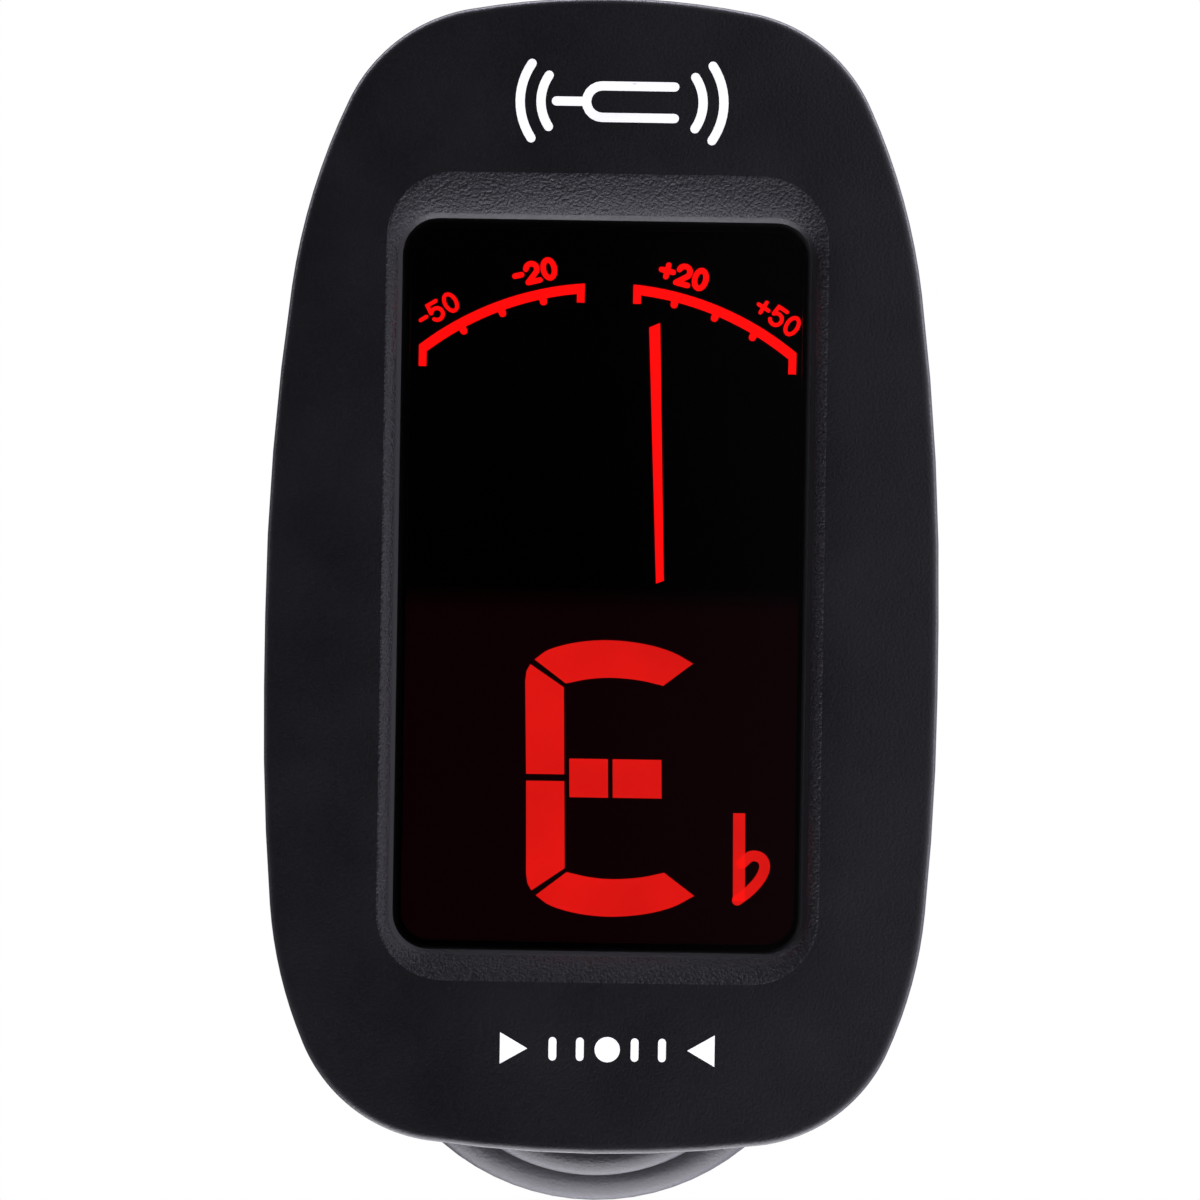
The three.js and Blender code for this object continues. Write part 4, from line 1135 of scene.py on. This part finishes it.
def jaw_pad(name, node, body, low, high, way):
    """A rubber pad with a rim and fine ribs across its gripping face."""
    pad_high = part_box(node)[1]
    half, reach = pad_high.x / MM, pad_high.z / MM
    pad = solid(slab, rounded_outline(half, -reach, reach, 2.5), low, high, (0.25, 0.25))
    grip = (high if way > 0 else low) + way * 0.02
    cuts = []
    for row in range(-4, 5):
        ends = half - (1.6 if abs(row) < 4 else 2.4)
        z = row * 1.2
        cuts.append(cut(solid(rod, (-ends, grip, z), (ends, grip, z), 0.34)))
    bm = combined(pad, *cuts)
    return piece(name, bm, pad_rubber, body, node, PART, crease=28)


def clip_pin():
    end = pin_high.x / MM
    half = [(0.05, end), (PIN_RADIUS - 0.05, end), (PIN_RADIUS, end - 0.5)]
    profile = [(radius, -t) for radius, t in half] + half[::-1]
    bm = solid(turned, rounded_profile(profile, 0.3), tuple(PIVOT), "x", 48)
    return piece("Clip_pin", bm, steel, "clip", "clip_pin", PART)


COIL_RADIUS = 2.4


def spring_route():
    """The torsion spring's wire: a leg on the front jaw, the coil round the pin and a leg on the lever."""
    radius, wire, turns, pitch, leg = COIL_RADIUS, 0.45, 4.5, 1.02, 12
    width = turns * pitch
    y, z = PIVOT
    slope = (LEVER_INNER - THROAT_INNER) / (z - 3 - JAW_FOOT)
    front_foot = (-width / 2, PAD_SEAT + wire + 0.12, z - leg)
    rear_foot = (width / 2, THROAT_INNER + (leg - 3) * slope - wire - 0.3, z - leg)
    coil = []
    count = int(turns * 28)
    for k in range(count + 1):
        angle = 2 * math.pi * turns * k / count
        coil.append(((k / count - 0.5) * width, y - radius * math.cos(angle), z + radius * math.sin(angle)))
    first = [tuple(np.array(front_foot) + (np.array(coil[0]) - front_foot) * k / 8) for k in range(8)]
    last = [tuple(np.array(coil[-1]) + (np.array(rear_foot) - coil[-1]) * k / 8) for k in range(1, 9)]
    return first + coil + last, wire


def clip_spring():
    route, wire = spring_route()
    points = [Vector(p) for p in route]
    side = Vector((1, 0, 0))
    rings = []
    for i, point in enumerate(points):
        way = (points[min(i + 1, len(points) - 1)] - points[max(i - 1, 0)]).normalized()
        side = (side - way * side.dot(way)).normalized()
        up = way.cross(side)
        turn = [2 * math.pi * k / 14 for k in range(14)]
        taper = 0.75 if i in (0, len(points) - 1) else 1.0
        rings.append([point + (side * math.cos(a) + up * math.sin(a)) * wire * taper for a in turn])
    bm = solid(skin, rings)
    obj = piece("Clip_spring", bm, plated_wire, None, "clip_spring", PART)
    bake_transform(obj)
    return obj


# Floor, light and camera.

CAMERA_DISTANCE = 0.35
VIEW_WIDTH = 0.0552
VIEW_HEIGHT_ON_HEAD = 25.4
ROLL = math.radians(0.9)
FLOOR_LEVEL = -0.085
FLOOR_RADII = (0.055, 0.04, 0.02)
FLOOR_GLOW = 2.6
FLOOR_FADE = 0.03
SENSOR = 36
WIDTH_MEASURED_BEHIND = 0.003
VIEW_SIDE = -0.0001


def floor():
    bm = bmesh.new()
    angles = np.linspace(0, 2 * math.pi, 96, endpoint=False)
    rings = [[(r * math.cos(a), r * math.sin(a), FLOOR_LEVEL) for a in angles] for r in FLOOR_RADII]
    skin(bm, rings, caps=False)
    bm.verts.ensure_lookup_table()
    bm.faces.new(bm.verts[-len(angles):])
    outward(bm)
    mesh = bpy.data.meshes.new("Floor")
    bm.to_mesh(mesh)
    bm.free()
    obj = bpy.data.objects.new("Floor", mesh)
    bpy.context.scene.collection.objects.link(obj)
    pale = surface("pale_floor", (0.86, 0.86, 0.86), 0.8, grain=2.0, relief=0.0, mottle=0.01, cloud=200.0)
    shader = pale.node_tree.nodes["Principled BSDF"]
    shader.inputs["Emission Color"].default_value = (1, 1, 1, 1)
    nodes, links = pale.node_tree.nodes, pale.node_tree.links
    glow = remap(nodes, links, axes(nodes, links, "Object")["Y"], 0.0, FLOOR_FADE, FLOOR_GLOW, 1.0)
    links.new(glow, shader.inputs["Emission Strength"])
    mesh.materials.append(pale)


def studio():
    """Light by its direction: dark behind the camera, strong from below and level with the face's edges.

    The camera itself sees plain white all round.
    """
    world = bpy.data.worlds.new("Studio")
    bpy.context.scene.world = world
    world.use_nodes = True
    nodes, links = world.node_tree.nodes, world.node_tree.links
    nodes.clear()
    axes_of_light = axes(nodes, links, "Generated")

    def maths(operation, a, b):
        node = nodes.new("ShaderNodeMath")
        node.operation = operation
        for socket, value in zip(node.inputs, (a, b)):
            if isinstance(value, (int, float)):
                socket.default_value = value
            else:
                links.new(value, socket)
        return node.outputs["Value"]

    def ramp(value, *span):
        return remap(nodes, links, value, *span, "SMOOTHSTEP")

    right, away, up = (axes_of_light[axis] for axis in "XYZ")
    front = ramp(away, -0.997, -0.85, 0.0, 0.1)
    low = maths("MAXIMUM", maths("MULTIPLY", up, -1.0), 0.0)
    below = maths("MULTIPLY", maths("POWER", low, 4.0), ramp(away, 0.1, 0.5, 4.0, 0.4))
    above = maths("MULTIPLY", maths("MAXIMUM", up, 0.0), 0.12)
    beside = maths("MULTIPLY", maths("MAXIMUM", right, 0.0), 0.85)
    level_with = maths("MULTIPLY", ramp(away, -0.1, 0.06, 0.0, 1.0), ramp(away, 0.25, 0.5, 1.0, 0.08))
    share = maths("ADD", maths("MULTIPLY", maths("MAXIMUM", up, 0.0), 9.0), maths("MULTIPLY", right, 1.1))
    rim = maths("MULTIPLY", maths("ADD", share, 1.3), level_with)
    glow = maths("ADD", maths("ADD", maths("ADD", front, below), maths("ADD", above, beside)), rim)
    light = nodes.new("ShaderNodeBackground")
    links.new(glow, light.inputs["Strength"])
    backdrop = nodes.new("ShaderNodeBackground")
    backdrop.inputs["Strength"].default_value = 1.0
    choose = nodes.new("ShaderNodeMixShader")
    links.new(nodes.new("ShaderNodeLightPath").outputs["Is Camera Ray"], choose.inputs["Fac"])
    links.new(light.outputs["Background"], choose.inputs[1])
    links.new(backdrop.outputs["Background"], choose.inputs[2])
    light.inputs["Color"].default_value = (1, 0.975, 1.13, 1)
    backdrop.inputs["Color"].default_value = (1, 1, 1, 1)
    output = nodes.new("ShaderNodeOutputWorld")
    links.new(choose.outputs["Shader"], output.inputs["Surface"])
    bpy.context.scene.view_settings.view_transform = "Standard"


def camera():
    data = bpy.data.cameras.new("Camera")
    data.sensor_width = SENSOR
    data.lens = SENSOR * (CAMERA_DISTANCE + WIDTH_MEASURED_BEHIND) / VIEW_WIDTH
    data.clip_start = 0.01
    obj = bpy.data.objects.new("Camera", data)
    bpy.context.scene.collection.objects.link(obj)
    right = Vector((math.cos(ROLL), 0, math.sin(ROLL)))
    up = Vector((-math.sin(ROLL), 0, math.cos(ROLL)))
    back = Vector((0, -1, 0))
    turn = Matrix((right, up, back)).transposed().to_4x4()
    height = shell_low.z + VIEW_HEIGHT_ON_HEAD * MM
    spot = Vector((VIEW_SIDE, shell_low.y - CAMERA_DISTANCE, height))
    obj.matrix_world = Matrix.Translation(spot) @ turn
    bpy.context.scene.camera = obj


dress_cad_nodes()
front_shell()
display_lens()
display_glass()
display_scale()
display_needle()
display_note()
printed_fork()
printed_row()
rear_shell()
battery_door()
power_button()
for number, place in enumerate(screw_places, start=1):
    housing_screw(number, place)
battery()
swivel_disc()
tilt_pin()
front_jaw()
rear_jaw()
jaw_pad("Front_pad", "front_pad", "clip", PAD_SEAT, 0.0, 1)
jaw_pad("Rear_pad", "rear_pad", "rear_jaw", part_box("rear_pad")[0].y / MM, REAR_PAD_SEAT, -1)
clip_pin()
clip_spring()
floor()
studio()
camera()
